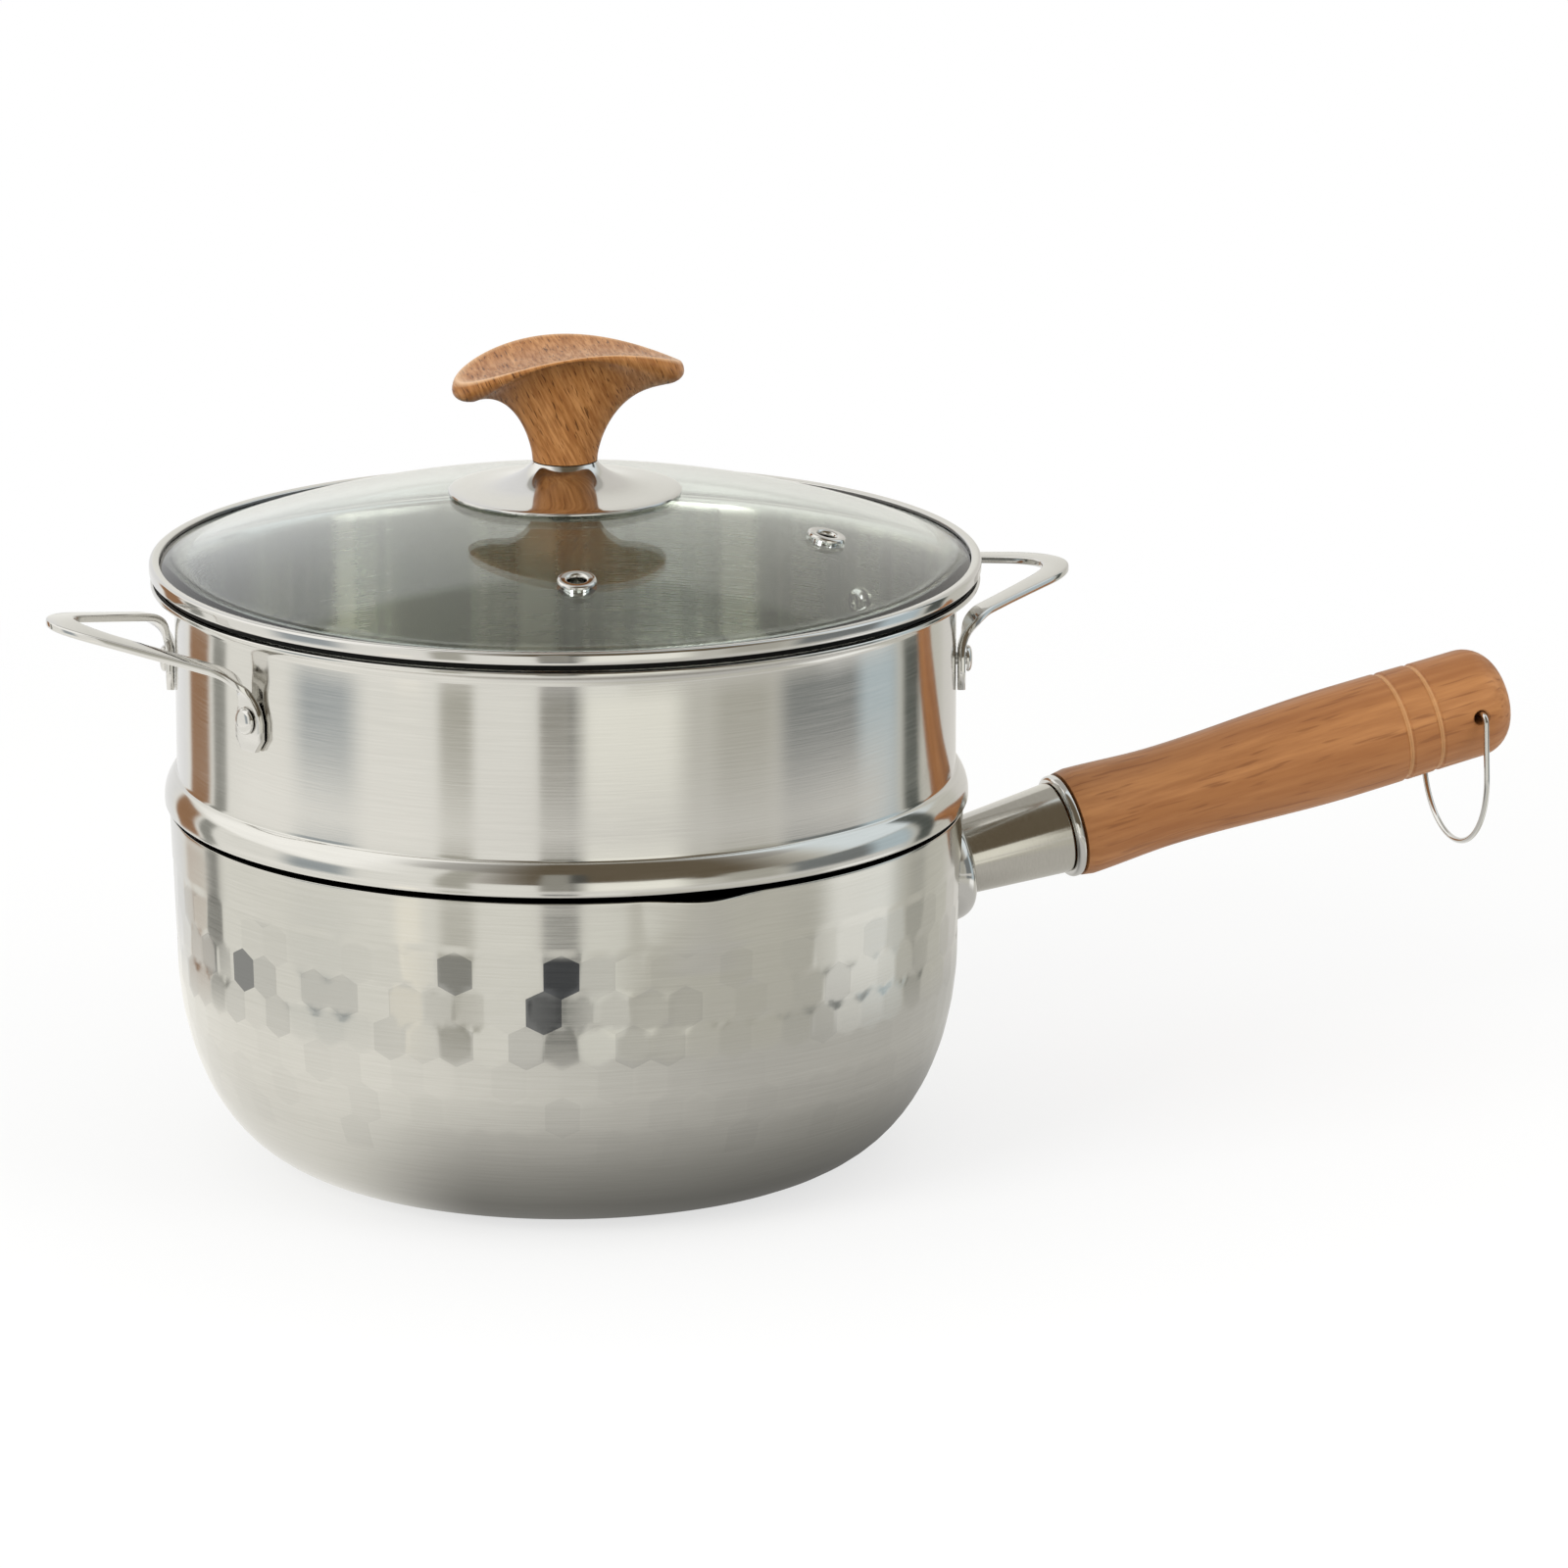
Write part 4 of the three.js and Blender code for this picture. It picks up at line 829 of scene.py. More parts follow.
def painted_facet_reflection(tree, place):
    """How dark each hammer mark's painted reflection is: a little at random, fading downwards and to the
    right, and a few marks much darker
    """
    cell, rows = facet_cells(tree, place)
    chance = add(tree, "TexWhiteNoise", {"Vector": cell}, noise_dimensions="2D").outputs["Value"]
    shade = math_node(tree, "POWER", chance, FACET_CONTRAST)
    row = add(tree, "SeparateXYZ", {0: cell}).outputs[1]
    upper = ramped(tree, row, 0, 1, FACET_TOP_ROW, FACET_NEXT_ROW)
    lower = ramped(tree, row, 1, 3, 1.0, FACET_LOW_ROWS)
    right = ramped(tree, bearing_of(tree, place), *FACET_RIGHT_BEARINGS, 1.0, FACET_RIGHT)
    strong = math_node(tree, "MULTIPLY", math_node(tree, "MULTIPLY", upper, lower), right)
    shade = math_node(tree, "MULTIPLY", shade, strong)
    for column, row_number, dark in DARK_REFLECTION_FACETS:
        apart = add(tree, "VectorMath", {0: cell, 1: (column, row_number, 0)}, operation="DISTANCE")
        here = math_node(tree, "LESS_THAN", apart.outputs["Value"], SAME_CELL)
        shade = math_node(tree, "MAXIMUM", shade, math_node(tree, "MULTIPLY", here, dark))
    band = within(tree, rows, -FACET_ABOVE, len(HAMMER_ROWS) - 1 + FACET_BELOW, FACET_SOFT)
    outside = add(tree, "Attribute", attribute_name=HAMMERED).outputs["Fac"]
    return math_node(tree, "MULTIPLY", shade, math_node(tree, "MULTIPLY", band, outside))


def hammered_steel(marks):
    material, tree, shader, place, colour, _ = steel(
        "hammered_steel", marks, HAMMERED_TONES, rough=(0.11, 0.17), lines=2300, contrast=1.1, stretch=0.7)
    # the marks' painted reflections darken the base colour
    colour = mix_colour(tree, painted_facet_reflection(tree, place), colour, rgba(FACET_REFLECTION_TONE))
    tree.links.new(colour, shader.inputs["Base Color"])
    return material


def steamer_steel(marks, gap):
    """Polished outside; duller inside, with painted sheen streaks and highlights; and painted shade in the
    gap under the lip
    """
    material, tree, shader, place, colour, sheen = steel(
        "polished_steel", marks, STEAMER_TONES, rough=(0.08, 0.15), lines=2600, contrast=1.0, stretch=0.6)
    radius = length_of(tree, level_part(tree, place))
    low, high = INSIDE_HEIGHTS
    narrow, wide = INSIDE_RADII
    limit = ramped(tree, height_of(tree, place), low * MM, high * MM, narrow * MM, wide * MM)
    short = math_node(tree, "SUBTRACT", limit, radius)
    inside = ramped(tree, short, -INSIDE_SOFT * MM, INSIDE_SOFT * MM)
    floor, wall = STREAKED_RADII
    pale, streaks = painted_sheen_streaks(tree, place, ramped(tree, radius, floor * MM, wall * MM))
    colour = mix_colour(tree, inside, colour, streaks)
    sheen = math_node(tree, "MULTIPLY_ADD", inside, ramped(tree, pale, 0, 1, *INSIDE_DULL), sheen)
    # painted shade in the gap under the lip
    dark = gap_shade_mask(tree, gap, place, LIP_GAP_RADII, LIP_GAP_HEIGHTS, LIP_GAP_SOFT)
    colour = mix_colour(tree, dark, colour, rgba(GAP_SHADE_TONE))
    tree.links.new(colour, shader.inputs["Base Color"])
    tree.links.new(sheen, shader.inputs["Roughness"])
    return material


def band_steel(marks, gap):
    """The lid's rim, with painted shade in the groove under its bead"""
    material, tree, shader, place, colour, sheen = steel(
        "lid_band_steel", marks, BAND_TONES, rough=(0.06, 0.11), lines=1200, contrast=0.6, stretch=0.3)
    # painted shade in the groove under the bead
    dark = gap_shade_mask(tree, gap, place, RIM_GAP_RADII, RIM_GAP_HEIGHTS, RIM_GAP_SOFT)
    colour = mix_colour(tree, dark, colour, rgba(GAP_SHADE_TONE))
    sheen = math_node(tree, "MULTIPLY_ADD", dark, GROOVE_DULL, sheen)
    tree.links.new(colour, shader.inputs["Base Color"])
    tree.links.new(sheen, shader.inputs["Roughness"])
    return material


def bright_steel(marks):
    return steel("bright_steel", marks, BRIGHT_TONES, rough=(0.06, 0.10), lines=1200, contrast=0.6,
                 stretch=0.0)[0]


def satin_steel(marks):
    return steel("satin_steel", marks, SATIN_TONES, rough=(0.12, 0.2), lines=2600, contrast=1.1,
                 stretch=0.6, on_handle=True)[0]


def wood(name, grain, lay, tones, fibre_share, pore_share, rough):
    """Wood on coordinates laid along its grain, by a turn, a centre and a cell"""
    material, tree, shader, place = new_material(name)
    along = laid_along(tree, place, *lay)
    seen = placed_group(tree, grain, Vector=along, Bands=1.0, Fibres=5.0)
    pale, dark, fibre, pore = [rgba(tone) for tone in tones]
    fibres = math_node(tree, "MULTIPLY", seen.outputs["Fibres"], fibre_share)
    pores = math_node(tree, "MULTIPLY", seen.outputs["Pores"], pore_share)
    tone = mix_colour(tree, seen.outputs["Bands"], dark, pale)
    tone = mix_colour(tree, fibres, tone, fibre)
    tone = mix_colour(tree, pores, tone, pore)
    sheen = ramped(tree, seen.outputs["Fibres"], 0, 1, *rough)
    tree.links.new(tone, shader.inputs["Base Color"])
    tree.links.new(sheen, shader.inputs["Roughness"])
    shader.inputs["Specular IOR Level"].default_value = 0.35
    bumped(tree, shader, seen.outputs["Fibres"], strength=0.1, distance=0.0002)
    return material, tree, shader, along, tone


def beech_wood(grain):
    """Beech along the handle, with a painted highlight where the grooves are cut into it"""
    lay = (0, HANDLE_TURN - QUARTER_TURN, 0), HANDLE_ROOT * MM, BEECH_CELL
    material, tree, shader, along, tone = wood(
        "oiled_beech", grain, lay, BEECH_TONES, fibre_share=0.5, pore_share=0.45, rough=(0.36, 0.5))
    reach = add(tree, "SeparateXYZ", {0: along}).outputs[0]
    for from_end in GROOVES_FROM_END:
        middle = (GRIP_START + GRIP_LENGTH - from_end) * MM / BEECH_CELL[0]
        half = GROOVE_WIDTH / 4 * MM / BEECH_CELL[0]
        groove = within(tree, reach, middle - half, middle + half, half / 4)
        tone = mix_colour(tree, math_node(tree, "MULTIPLY", groove, GROOVE_HIGHLIGHT_SHARE), tone, rgba(GROOVE_HIGHLIGHT_TONE))
    tree.links.new(tone, shader.inputs["Base Color"])
    return material


def knob_wood(grain):
    """Lacquered wood in thin layers across the knob, with a painted highlight on its rim"""
    turn = Vector((1, 0, 0)).rotation_difference(KNOB_GRAIN).to_euler()
    lay = turn, (0, 0, 0), KNOB_CELL
    material, tree, shader, _, tone = wood(
        "lacquered_knob_wood", grain, lay, KNOB_TONES, fibre_share=0.8, pore_share=0.85, rough=(0.3, 0.42))
    # painted highlight along the rim
    rim_highlight = add(tree, "Attribute", attribute_name=KNOB_RIM_HIGHLIGHT).outputs["Fac"]
    tone = mix_colour(tree, math_node(tree, "MULTIPLY", rim_highlight, RIM_HIGHLIGHT_SHARE), tone, rgba(RIM_HIGHLIGHT_TONE))
    tree.links.new(tone, shader.inputs["Base Color"])
    shader.inputs["Specular IOR Level"].default_value = 0.18
    shader.inputs["Coat Weight"].default_value = 0.05
    shader.inputs["Coat Roughness"].default_value = 0.12
    return material


def clear_glass(marks):
    material, tree, shader, place = new_material("tempered_glass")
    seen = placed_group(tree, marks, Vector=place, Lines=60.0, Round=2.0)
    sheen = ramped(tree, seen.outputs["Smudge"], *GLASS_SMUDGE, 0.0, GLASS_DULL)
    tree.links.new(sheen, shader.inputs["Roughness"])
    shader.inputs["Base Color"].default_value = rgba(GLASS_TINT)
    shader.inputs["Transmission Weight"].default_value = 1
    shader.inputs["IOR"].default_value = GLASS_IOR
    return material


def silicone_seal(marks):
    material, tree, shader, place = new_material("grey_silicone")
    seen = placed_group(tree, marks, Vector=place, Lines=900.0, Round=4.0)
    dark, pale = SILICONE_TONES
    tone = mix_colour(tree, seen.outputs["Smudge"], rgba(dark), rgba(pale))
    sheen = ramped(tree, seen.outputs["Lines"], 0, 1, *SILICONE_ROUGH)
    tree.links.new(tone, shader.inputs["Base Color"])
    tree.links.new(sheen, shader.inputs["Roughness"])
    bumped(tree, shader, seen.outputs["Lines"], strength=0.1, distance=0.0001)
    return material


# Pan

def pan_radius(height):
    if height >= PAN_CURVE_HEIGHT:
        return PAN_RIM_RADIUS - (PAN_HEIGHT - height) * PAN_TAPER
    wide = pan_radius(PAN_CURVE_HEIGHT) - PAN_BASE_RADIUS
    fall = ((PAN_CURVE_HEIGHT - height) / PAN_CURVE_HEIGHT) ** PAN_CURVE_POWER
    return PAN_BASE_RADIUS + wide * max(0, 1 - fall) ** (1 / PAN_CURVE_POWER)


def pan_point(turn, height):
    radius = pan_radius(height)
    return Vector((radius * math.cos(turn), radius * math.sin(turn), height))


def pan_normal(turn, height):
    """The wall's facing, from its slope over a millimetre"""
    slope = pan_radius(height + 0.5) - pan_radius(height - 0.5)
    return Vector((math.cos(turn), math.sin(turn), -slope)).normalized()


def pan_section():
    """From the middle of the base out, up the wall, over the rim and back down the inside"""
    points = [(radius, BASE_HOLLOW) for radius in (0, BASE_MIDDLE, BASE_HOLLOW_RADIUS)]
    points += [(BASE_RING_RADIUS, 0), (PAN_BASE_RADIUS, 0)]
    heights = [*PAN_LOW_HEIGHTS, *PAN_FINE_HEIGHTS, *PAN_HIGH_HEIGHTS]
    points += [(pan_radius(height), height) for height in heights]
    below_rim = PAN_HEIGHT - PAN_WALL / 2
    inner_rim = PAN_RIM_RADIUS - PAN_WALL
    points += rounded([
        (PAN_RIM_RADIUS, below_rim, 0),
        (PAN_RIM_RADIUS, PAN_HEIGHT, PAN_RIM_ROUND),
        (inner_rim, PAN_HEIGHT, PAN_RIM_ROUND),
        (inner_rim, below_rim, 0),
    ], steps=3)
    points += [(pan_radius(height) - PAN_WALL, height) for height in PAN_INNER_HEIGHTS]
    wide = pan_radius(PAN_CURVE_HEIGHT) - PAN_WALL - PAN_BASE_RADIUS
    tall = PAN_CURVE_HEIGHT - PAN_WALL
    for i in range(PAN_INNER_STEPS + 1):
        turn = (1 - i / PAN_INNER_STEPS) * QUARTER_TURN
        radius = PAN_BASE_RADIUS + wide * math.sin(turn) ** (2 / PAN_CURVE_POWER)
        fall = tall * max(0, math.cos(turn)) ** (2 / PAN_CURVE_POWER)
        points.append((radius, PAN_CURVE_HEIGHT - fall))
    return points + [(BASE_MIDDLE, PAN_WALL), (0, PAN_WALL)]


def hammer_marks():
    """Each mark by row and column: its bearing, its height, its flat's centre and facing, its strength"""
    chance = random.Random(HAMMER_SEED)
    step = FULL_TURN / HAMMER_COLUMNS
    marks = {}
    for row, strength in enumerate(HAMMER_ROWS):
        for column in range(HAMMER_COLUMNS):
            turn = HAMMER_PHASE + (column - 0.5 * (row % 2)) * step
            height = HAMMER_TOP - row * HAMMER_PITCH
            facing = pan_normal(turn, height)
            lean = Vector([chance.uniform(-HAMMER_LEAN, HAMMER_LEAN) for _ in range(3)])
            facing = (facing + lean).normalized()
            centre = pan_point(turn, height) - facing * HAMMER_SINK
            strong = strength * chance.uniform(HAMMER_LEAST, 1)
            marks[row, column] = turn, height, centre, facing, strong
    return marks


def nearest_mark(marks, turn, height):
    step = FULL_TURN / HAMMER_COLUMNS
    middle = round((HAMMER_TOP - height) / HAMMER_PITCH)
    best, found = HAMMER_PITCH, None
    for row in range(max(middle - 1, 0), min(middle + 2, len(HAMMER_ROWS))):
        near = round((turn - HAMMER_PHASE) / step + 0.5 * (row % 2))
        for column in (near - 1, near, near + 1):
            mark = marks[row, column % HAMMER_COLUMNS]
            away = (turn - mark[0] + math.pi) % FULL_TURN - math.pi
            gap = math.hypot(away * PAN_RIM_RADIUS, height - mark[1])
            if gap < best:
                best, found = gap, mark
    return found


def hammer(bm):
    """Moves the wall's outside onto the flats of the hammer marks"""
    marks = hammer_marks()
    lowest = HAMMER_TOP - (len(HAMMER_ROWS) - 1 + HAMMER_BELOW) * HAMMER_PITCH
    highest = HAMMER_TOP + HAMMER_ABOVE * HAMMER_PITCH
    hammered = bm.verts.layers.float.new(HAMMERED)
    for vert in bm.verts:
        height = vert.co.z
        outside = math.hypot(vert.co.x, vert.co.y) > pan_radius(height) - PAN_WALL / 2
        if not outside or not lowest < height < highest:
            continue
        vert[hammered] = 1
        turn = math.atan2(vert.co.y, vert.co.x)
        mark = nearest_mark(marks, turn, height)
        if not mark:
            continue
        centre, facing, strength = mark[2:]
        normal = pan_normal(turn, height)
        travel = (centre - vert.co).dot(facing) / normal.dot(facing)
        vert.co += normal * min(travel, HAMMER_RAISE) * strength
    return bm


def press_spouts(bm):
    """Pushes the rim out and down at the two spouts"""
    for vert in bm.verts:
        rise = min(max(1 - (PAN_HEIGHT - vert.co.z) / SPOUT_DEPTH, 0), 1)
        swell = rise * ease(1 - abs(vert.co.x) / SPOUT_HALF_WIDTH)
        if swell > 0:
            out = SPOUT_OUT * swell / math.hypot(vert.co.x, vert.co.y)
            vert.co += Vector((vert.co.x * out, vert.co.y * out, -SPOUT_DIP * swell))
    return bm


def hammered_pan(material):
    bm = turned(pan_section(), PAN_STEPS, closed=False)
    press_spouts(hammer(bm))
    piece("hammered_pan", bm, "pan", "pan_body", material)


# Stick handle

def seat_on_wall(place):
    """How far along the handle's axis a point of the flange's foot meets the pan's wall"""
    low, high = -FLANGE_REACH, FLANGE_REACH
    for _ in range(SEAT_TRIES):
        middle = (low + high) / 2
        point = HANDLE_PLACE @ Vector((place.x, place.y, middle))
        outside = math.hypot(point.x, point.y) > pan_radius(point.z) + FLANGE_CLEAR
        low, high = (low, middle) if outside else (middle, high)
    return low


def wall_flange(material):
    foot = -FLANGE_REACH
    section = [(radius, foot) for radius in FLANGE_FOOT_RADII]
    section += bend((FLANGE_RADIUS, FLANGE_EDGE), (FLANGE_RADIUS, FLANGE_LENGTH),
                    (FERRULE_RADIUS, FLANGE_LENGTH), steps=14)
    section.append((0, FLANGE_LENGTH))
    bm = turned(section, FLANGE_STEPS, closed=False)
    for vert in bm.verts:
        if vert.co.z == foot:
            vert.co.z = seat_on_wall(vert.co)
    piece("wall_flange", moved(bm, HANDLE_PLACE), "pan", "handle_flange", material)


def steel_ferrule(material):
    section = rounded([
        (FERRULE_RADIUS - FERRULE_WALL, FERRULE_START, 0),
        (FERRULE_RADIUS, FERRULE_START, FERRULE_ROUND),
        (FERRULE_MOUTH, FERRULE_END, FERRULE_MOUTH_ROUND),
        (FERRULE_MOUTH - FERRULE_WALL, FERRULE_END, 0),
    ])
    bm = moved(turned(section, FERRULE_STEPS), HANDLE_PLACE)
    piece("steel_ferrule", bm, "pan", "handle_ferrule", material)


def rolled_ring(material):
    section = rounded([
        (ROLL_BORE, ROLL_START, ROLL_BORE_ROUND),
        (ROLL_RADIUS, ROLL_START, ROLL_ROUND),
        (ROLL_RADIUS, ROLL_END, ROLL_ROUND),
        (ROLL_BORE, ROLL_END, ROLL_BORE_ROUND),
    ], steps=6)
    bm = moved(turned(section, FERRULE_STEPS), HANDLE_PLACE)
    piece("rolled_ring", bm, "pan", "ferrule_ring", material)


def grip_radius(along):
    if along < GRIP_WAIST_AT:
        return mixed(GRIP_NECK, GRIP_WAIST, ease(along / GRIP_WAIST_AT))
    if along < GRIP_SWELL_AT:
        share = (along - GRIP_WAIST_AT) / (GRIP_SWELL_AT - GRIP_WAIST_AT)
        return mixed(GRIP_WAIST, GRIP_SWELL, ease(share))
    share = (along - GRIP_SWELL_AT) / (GRIP_LENGTH - GRIP_END_ROUND - GRIP_SWELL_AT)
    return mixed(GRIP_SWELL, GRIP_END, ease(share))


def grip_section():
    """From the tenon's end out to the grip, along its grooves and round its far end"""
    straight = GRIP_LENGTH - GRIP_END_ROUND
    half_groove = GROOVE_WIDTH / 2
    grooves = [GRIP_LENGTH - from_end for from_end in GROOVES_FROM_END]
    stations = [i / GRIP_STATIONS * straight for i in range(GRIP_STATIONS + 1)]
    stations = [x for x in stations if all(abs(x - groove) > GROOVE_WIDTH for groove in grooves)]
    for groove in grooves:
        stations += [groove + share * half_groove for share in GROOVE_STATIONS]
    points = [(0, TENON_START), (TENON_RADIUS - TENON_TAPER, TENON_START), (TENON_RADIUS, FERRULE_END),
              (TENON_RADIUS, GRIP_START), (GRIP_NECK - GRIP_NECK_EDGE, GRIP_START)]
    for along in sorted(stations):
        near = min(abs(along - groove) for groove in grooves) / half_groove
        sunk = GROOVE_DEPTH * max(0, 1 - near)
        entry = GRIP_ENTRY_SINK * ease(1 - along / GRIP_ENTRY)
        points.append((grip_radius(along) - sunk - entry, GRIP_START + along))
    middle = grip_radius(straight) - GRIP_END_ROUND
    for i in range(1, GRIP_END_STEPS + 1):
        turn = i / GRIP_END_STEPS * QUARTER_TURN
        points.append((middle + GRIP_END_ROUND * math.cos(turn),
                       GRIP_START + straight + GRIP_END_ROUND * math.sin(turn)))
    return points + [(0, GRIP_START + GRIP_LENGTH)]


def beech_grip(material):
    far = GRIP_SWELL * 2
    side = grip_radius(GRIP_LENGTH - HOLE_FROM_END)
    mouth = HOLE_MOUTH - HOLE_RADIUS
    bore = [(0, -far), (HOLE_MOUTH, -far), (HOLE_MOUTH, -side), (HOLE_RADIUS, mouth - side),
            (HOLE_RADIUS, side - mouth), (HOLE_MOUTH, side), (HOLE_MOUTH, far), (0, far)]
    tool = turned(bore, HOLE_STEPS, closed=False)
    place = Matrix.Translation((0, 0, GRIP_START + GRIP_LENGTH - HOLE_FROM_END))
    moved(tool, place @ Matrix.Rotation(QUARTER_TURN, 4, "X"))
    bm = cut(turned(grip_section(), GRIP_STEPS, closed=False), [tool])
    piece("beech_grip", moved(bm, HANDLE_PLACE), "pan", "handle_grip", material)


def grip_screw(material):
    top = SCREW_SEAT + SCREW_RISE
    recess = SCREW_SEAT + SCREW_RECESS_FLOOR
    section = [(0, SCREW_TIP), (SCREW_RADIUS, SCREW_TIP + SCREW_RADIUS), (SCREW_RADIUS, SCREW_SEAT),
               (SCREW_HEAD, SCREW_SEAT)]
    section += bend((SCREW_HEAD, SCREW_SEAT + SCREW_EDGE), (SCREW_CROWN, top),
                    (SCREW_RECESS_MOUTH, top), steps=6)
    section += [(SCREW_RECESS_RADIUS, recess), (0, recess)]
    bm = turned(section, SCREW_STEPS, closed=False)
    moved(bm, Matrix.Translation((0, 0, SCREW_ALONG)) @ Matrix.Rotation(-QUARTER_TURN, 4, "X"))
    piece("grip_screw", moved(bm, HANDLE_PLACE), "pan", "ferrule_screw", material)


# Hanging ring

def wire_points():
    """The bent wire in its own plane, from the cross hole's middle round and back"""
    bow = (RING_FAR - RING_NEAR) / 2
    low = bow - RING_DROP
    points = [(WIRE_SPLIT / 2, 0), (RING_FAR / 2, 0)]
    points += bend((RING_FAR - WIRE_BEND, 0), (RING_FAR, 0), (RING_FAR, -WIRE_BEND))
    points.append((RING_FAR, low / 2))
    for i in range(WIRE_BOW_STEPS + 1):
        turn = -i / WIRE_BOW_STEPS * math.pi
        points.append(((RING_NEAR + RING_FAR) / 2 + bow * math.cos(turn), low + bow * math.sin(turn)))
    points.append((RING_NEAR, low / 2))
    points += bend((RING_NEAR, -WIRE_BEND), (RING_NEAR, 0), (RING_NEAR + WIRE_BEND, 0))
    points += [(RING_NEAR / 2, 0), (-WIRE_SPLIT / 2, 0)]
    return [Vector((0, point[0], point[1])) for point in points]


def path_stations(points, faces, widths):
    """Places along a path with the direction across it, the facing and the width of the bar there"""
    stations = []
    for i, place in enumerate(points):
        along = points[min(i + 1, len(points) - 1)] - points[max(i - 1, 0)]
        along.normalize()
        face = (faces[i] - along * faces[i].dot(along)).normalized()
        stations.append((place, along.cross(face), face, widths[i]))
    return stations


def wire_ring(material):
    points = wire_points()
    faces = [Vector((1, 0, 0))] * len(points)
    turns = [i / WIRE_SIDES * FULL_TURN for i in range(WIRE_SIDES)]
    section = [(WIRE_RADIUS * math.cos(turn), WIRE_RADIUS * math.sin(turn)) for turn in turns]
    bm = swept(section, path_stations(points, faces, [0] * len(points)))
    moved(bm, Matrix.Translation(RING_CENTRE) @ Matrix.Rotation(RING_TILT, 4, "X"))
    piece("wire_ring", bm, "hanging_ring", "hanging_ring", material, sharp=50)


# Steamer insert

def steamer_section():
    """From the middle of the floor out, up the outside to the mouth and back down the inside"""
    floor_top = FLOOR_BOTTOM + SHEET
    corner_top = FLOOR_BOTTOM + FLOOR_CORNER
    inner_skirt = SKIRT_RADIUS - SHEET
    inner_wall = WALL_RADIUS - SHEET
    inner_lip = LIP_RADIUS - SHEET
    flat = SKIRT_RADIUS - FLOOR_CORNER
    points = [(0, FLOOR_BOTTOM), (flat / 2, FLOOR_BOTTOM)]
    points += bend((flat, FLOOR_BOTTOM), (SKIRT_RADIUS, FLOOR_BOTTOM), (SKIRT_RADIUS, corner_top))
    points += rounded([
        (SKIRT_RADIUS, LIP_BOTTOM - SHEET, 0),
        (SKIRT_RADIUS, LIP_BOTTOM, LIP_ROOT_ROUND),
        (LIP_RADIUS, LIP_BOTTOM, LIP_ROUND),
        (LIP_RADIUS, LIP_BAND_TOP, 0),
    ], steps=5)
    points += bend((LIP_RADIUS, LIP_BAND_TOP + LIP_LEAD), (LIP_RADIUS, SHOULDER_CONTROL),
                   (CREASE_RADIUS + CREASE_OUT, CREASE_HEIGHT), steps=12)
    points += bend((CREASE_RADIUS - CREASE_IN, CREASE_HEIGHT + CREASE_STEP),
                   (WALL_RADIUS, CREASE_HEIGHT + 2 * CREASE_STEP),
                   (WALL_RADIUS, CREASE_HEIGHT + CREASE_ROUND), steps=4)
    points += [(WALL_RADIUS, height) for height in WALL_HEIGHTS]
    points += bend((WALL_RADIUS, FLARE_FROM), (WALL_RADIUS, MOUTH_BOTTOM - MOUTH_LEAD),
                   (MOUTH_RADIUS - MOUTH_EDGE - MOUTH_LEAD, MOUTH_BOTTOM), steps=12)
    points += rounded([
        (MOUTH_RADIUS - MOUTH_EDGE, MOUTH_BOTTOM, 0),
        (MOUTH_RADIUS, MOUTH_BOTTOM, MOUTH_ROUND),
        (MOUTH_RADIUS, STEAMER_TOP, MOUTH_ROUND),
        (SEAT_RADIUS, STEAMER_TOP, 0),
    ], steps=5)
    points += bend((SEAT_RADIUS - SEAT_LEAD, STEAMER_TOP), (inner_wall, STEAMER_TOP - SEAT_LEAD),
                   (inner_wall, FLARE_FROM), steps=10)
    points += [(inner_wall, height) for height in INNER_WALL_HEIGHTS]
    points += bend((inner_wall, CREASE_HEIGHT + SHEET), (inner_lip, SHOULDER_CONTROL - SHOULDER_INNER_DROP),
                   (inner_lip, LIP_BAND_TOP), steps=10)
    points += rounded([
        (inner_lip, LIP_BOTTOM + SHEET + LIP_LEAD, 0),
        (inner_lip, LIP_BOTTOM + SHEET, LIP_INNER_ROUND),
        (inner_skirt, LIP_BOTTOM + SHEET, LIP_ROOT_ROUND),
        (inner_skirt, corner_top + SHEET, 0),
    ], steps=4)
    points += bend((inner_skirt, corner_top), (inner_skirt, floor_top), (flat, floor_top))
    return points + [(flat / 2, floor_top), (0, floor_top)]


def steam_hole():
    return rod(STEAM_HOLE_RADIUS, FLOOR_BOTTOM - SHEET, FLOOR_BOTTOM + 2 * SHEET)


def steam_holes():
    """Rods for a hole in the floor's middle and for rings of holes round it"""
    tools = [steam_hole()]
    for ring in range(1, STEAM_HOLE_RINGS + 1):
        count = HOLES_PER_RING * ring
        for i in range(count):
            hole = steam_hole()
            bmesh.ops.translate(hole, vec=(STEAM_HOLE_PITCH * ring, 0, 0), verts=hole.verts)
            tools.append(moved(hole, Matrix.Rotation(i / count * FULL_TURN, 4, "Z")))
    return tools


def steamer_insert(material):
    bm = cut(turned(steamer_section(), STEAMER_STEPS, closed=False), steam_holes())
    moved(bm, Matrix.Rotation(STEAMER_TURN, 4, "Z"))
    piece("steamer_insert", bm, "steamer", "steamer_body", material)


# Loop handles

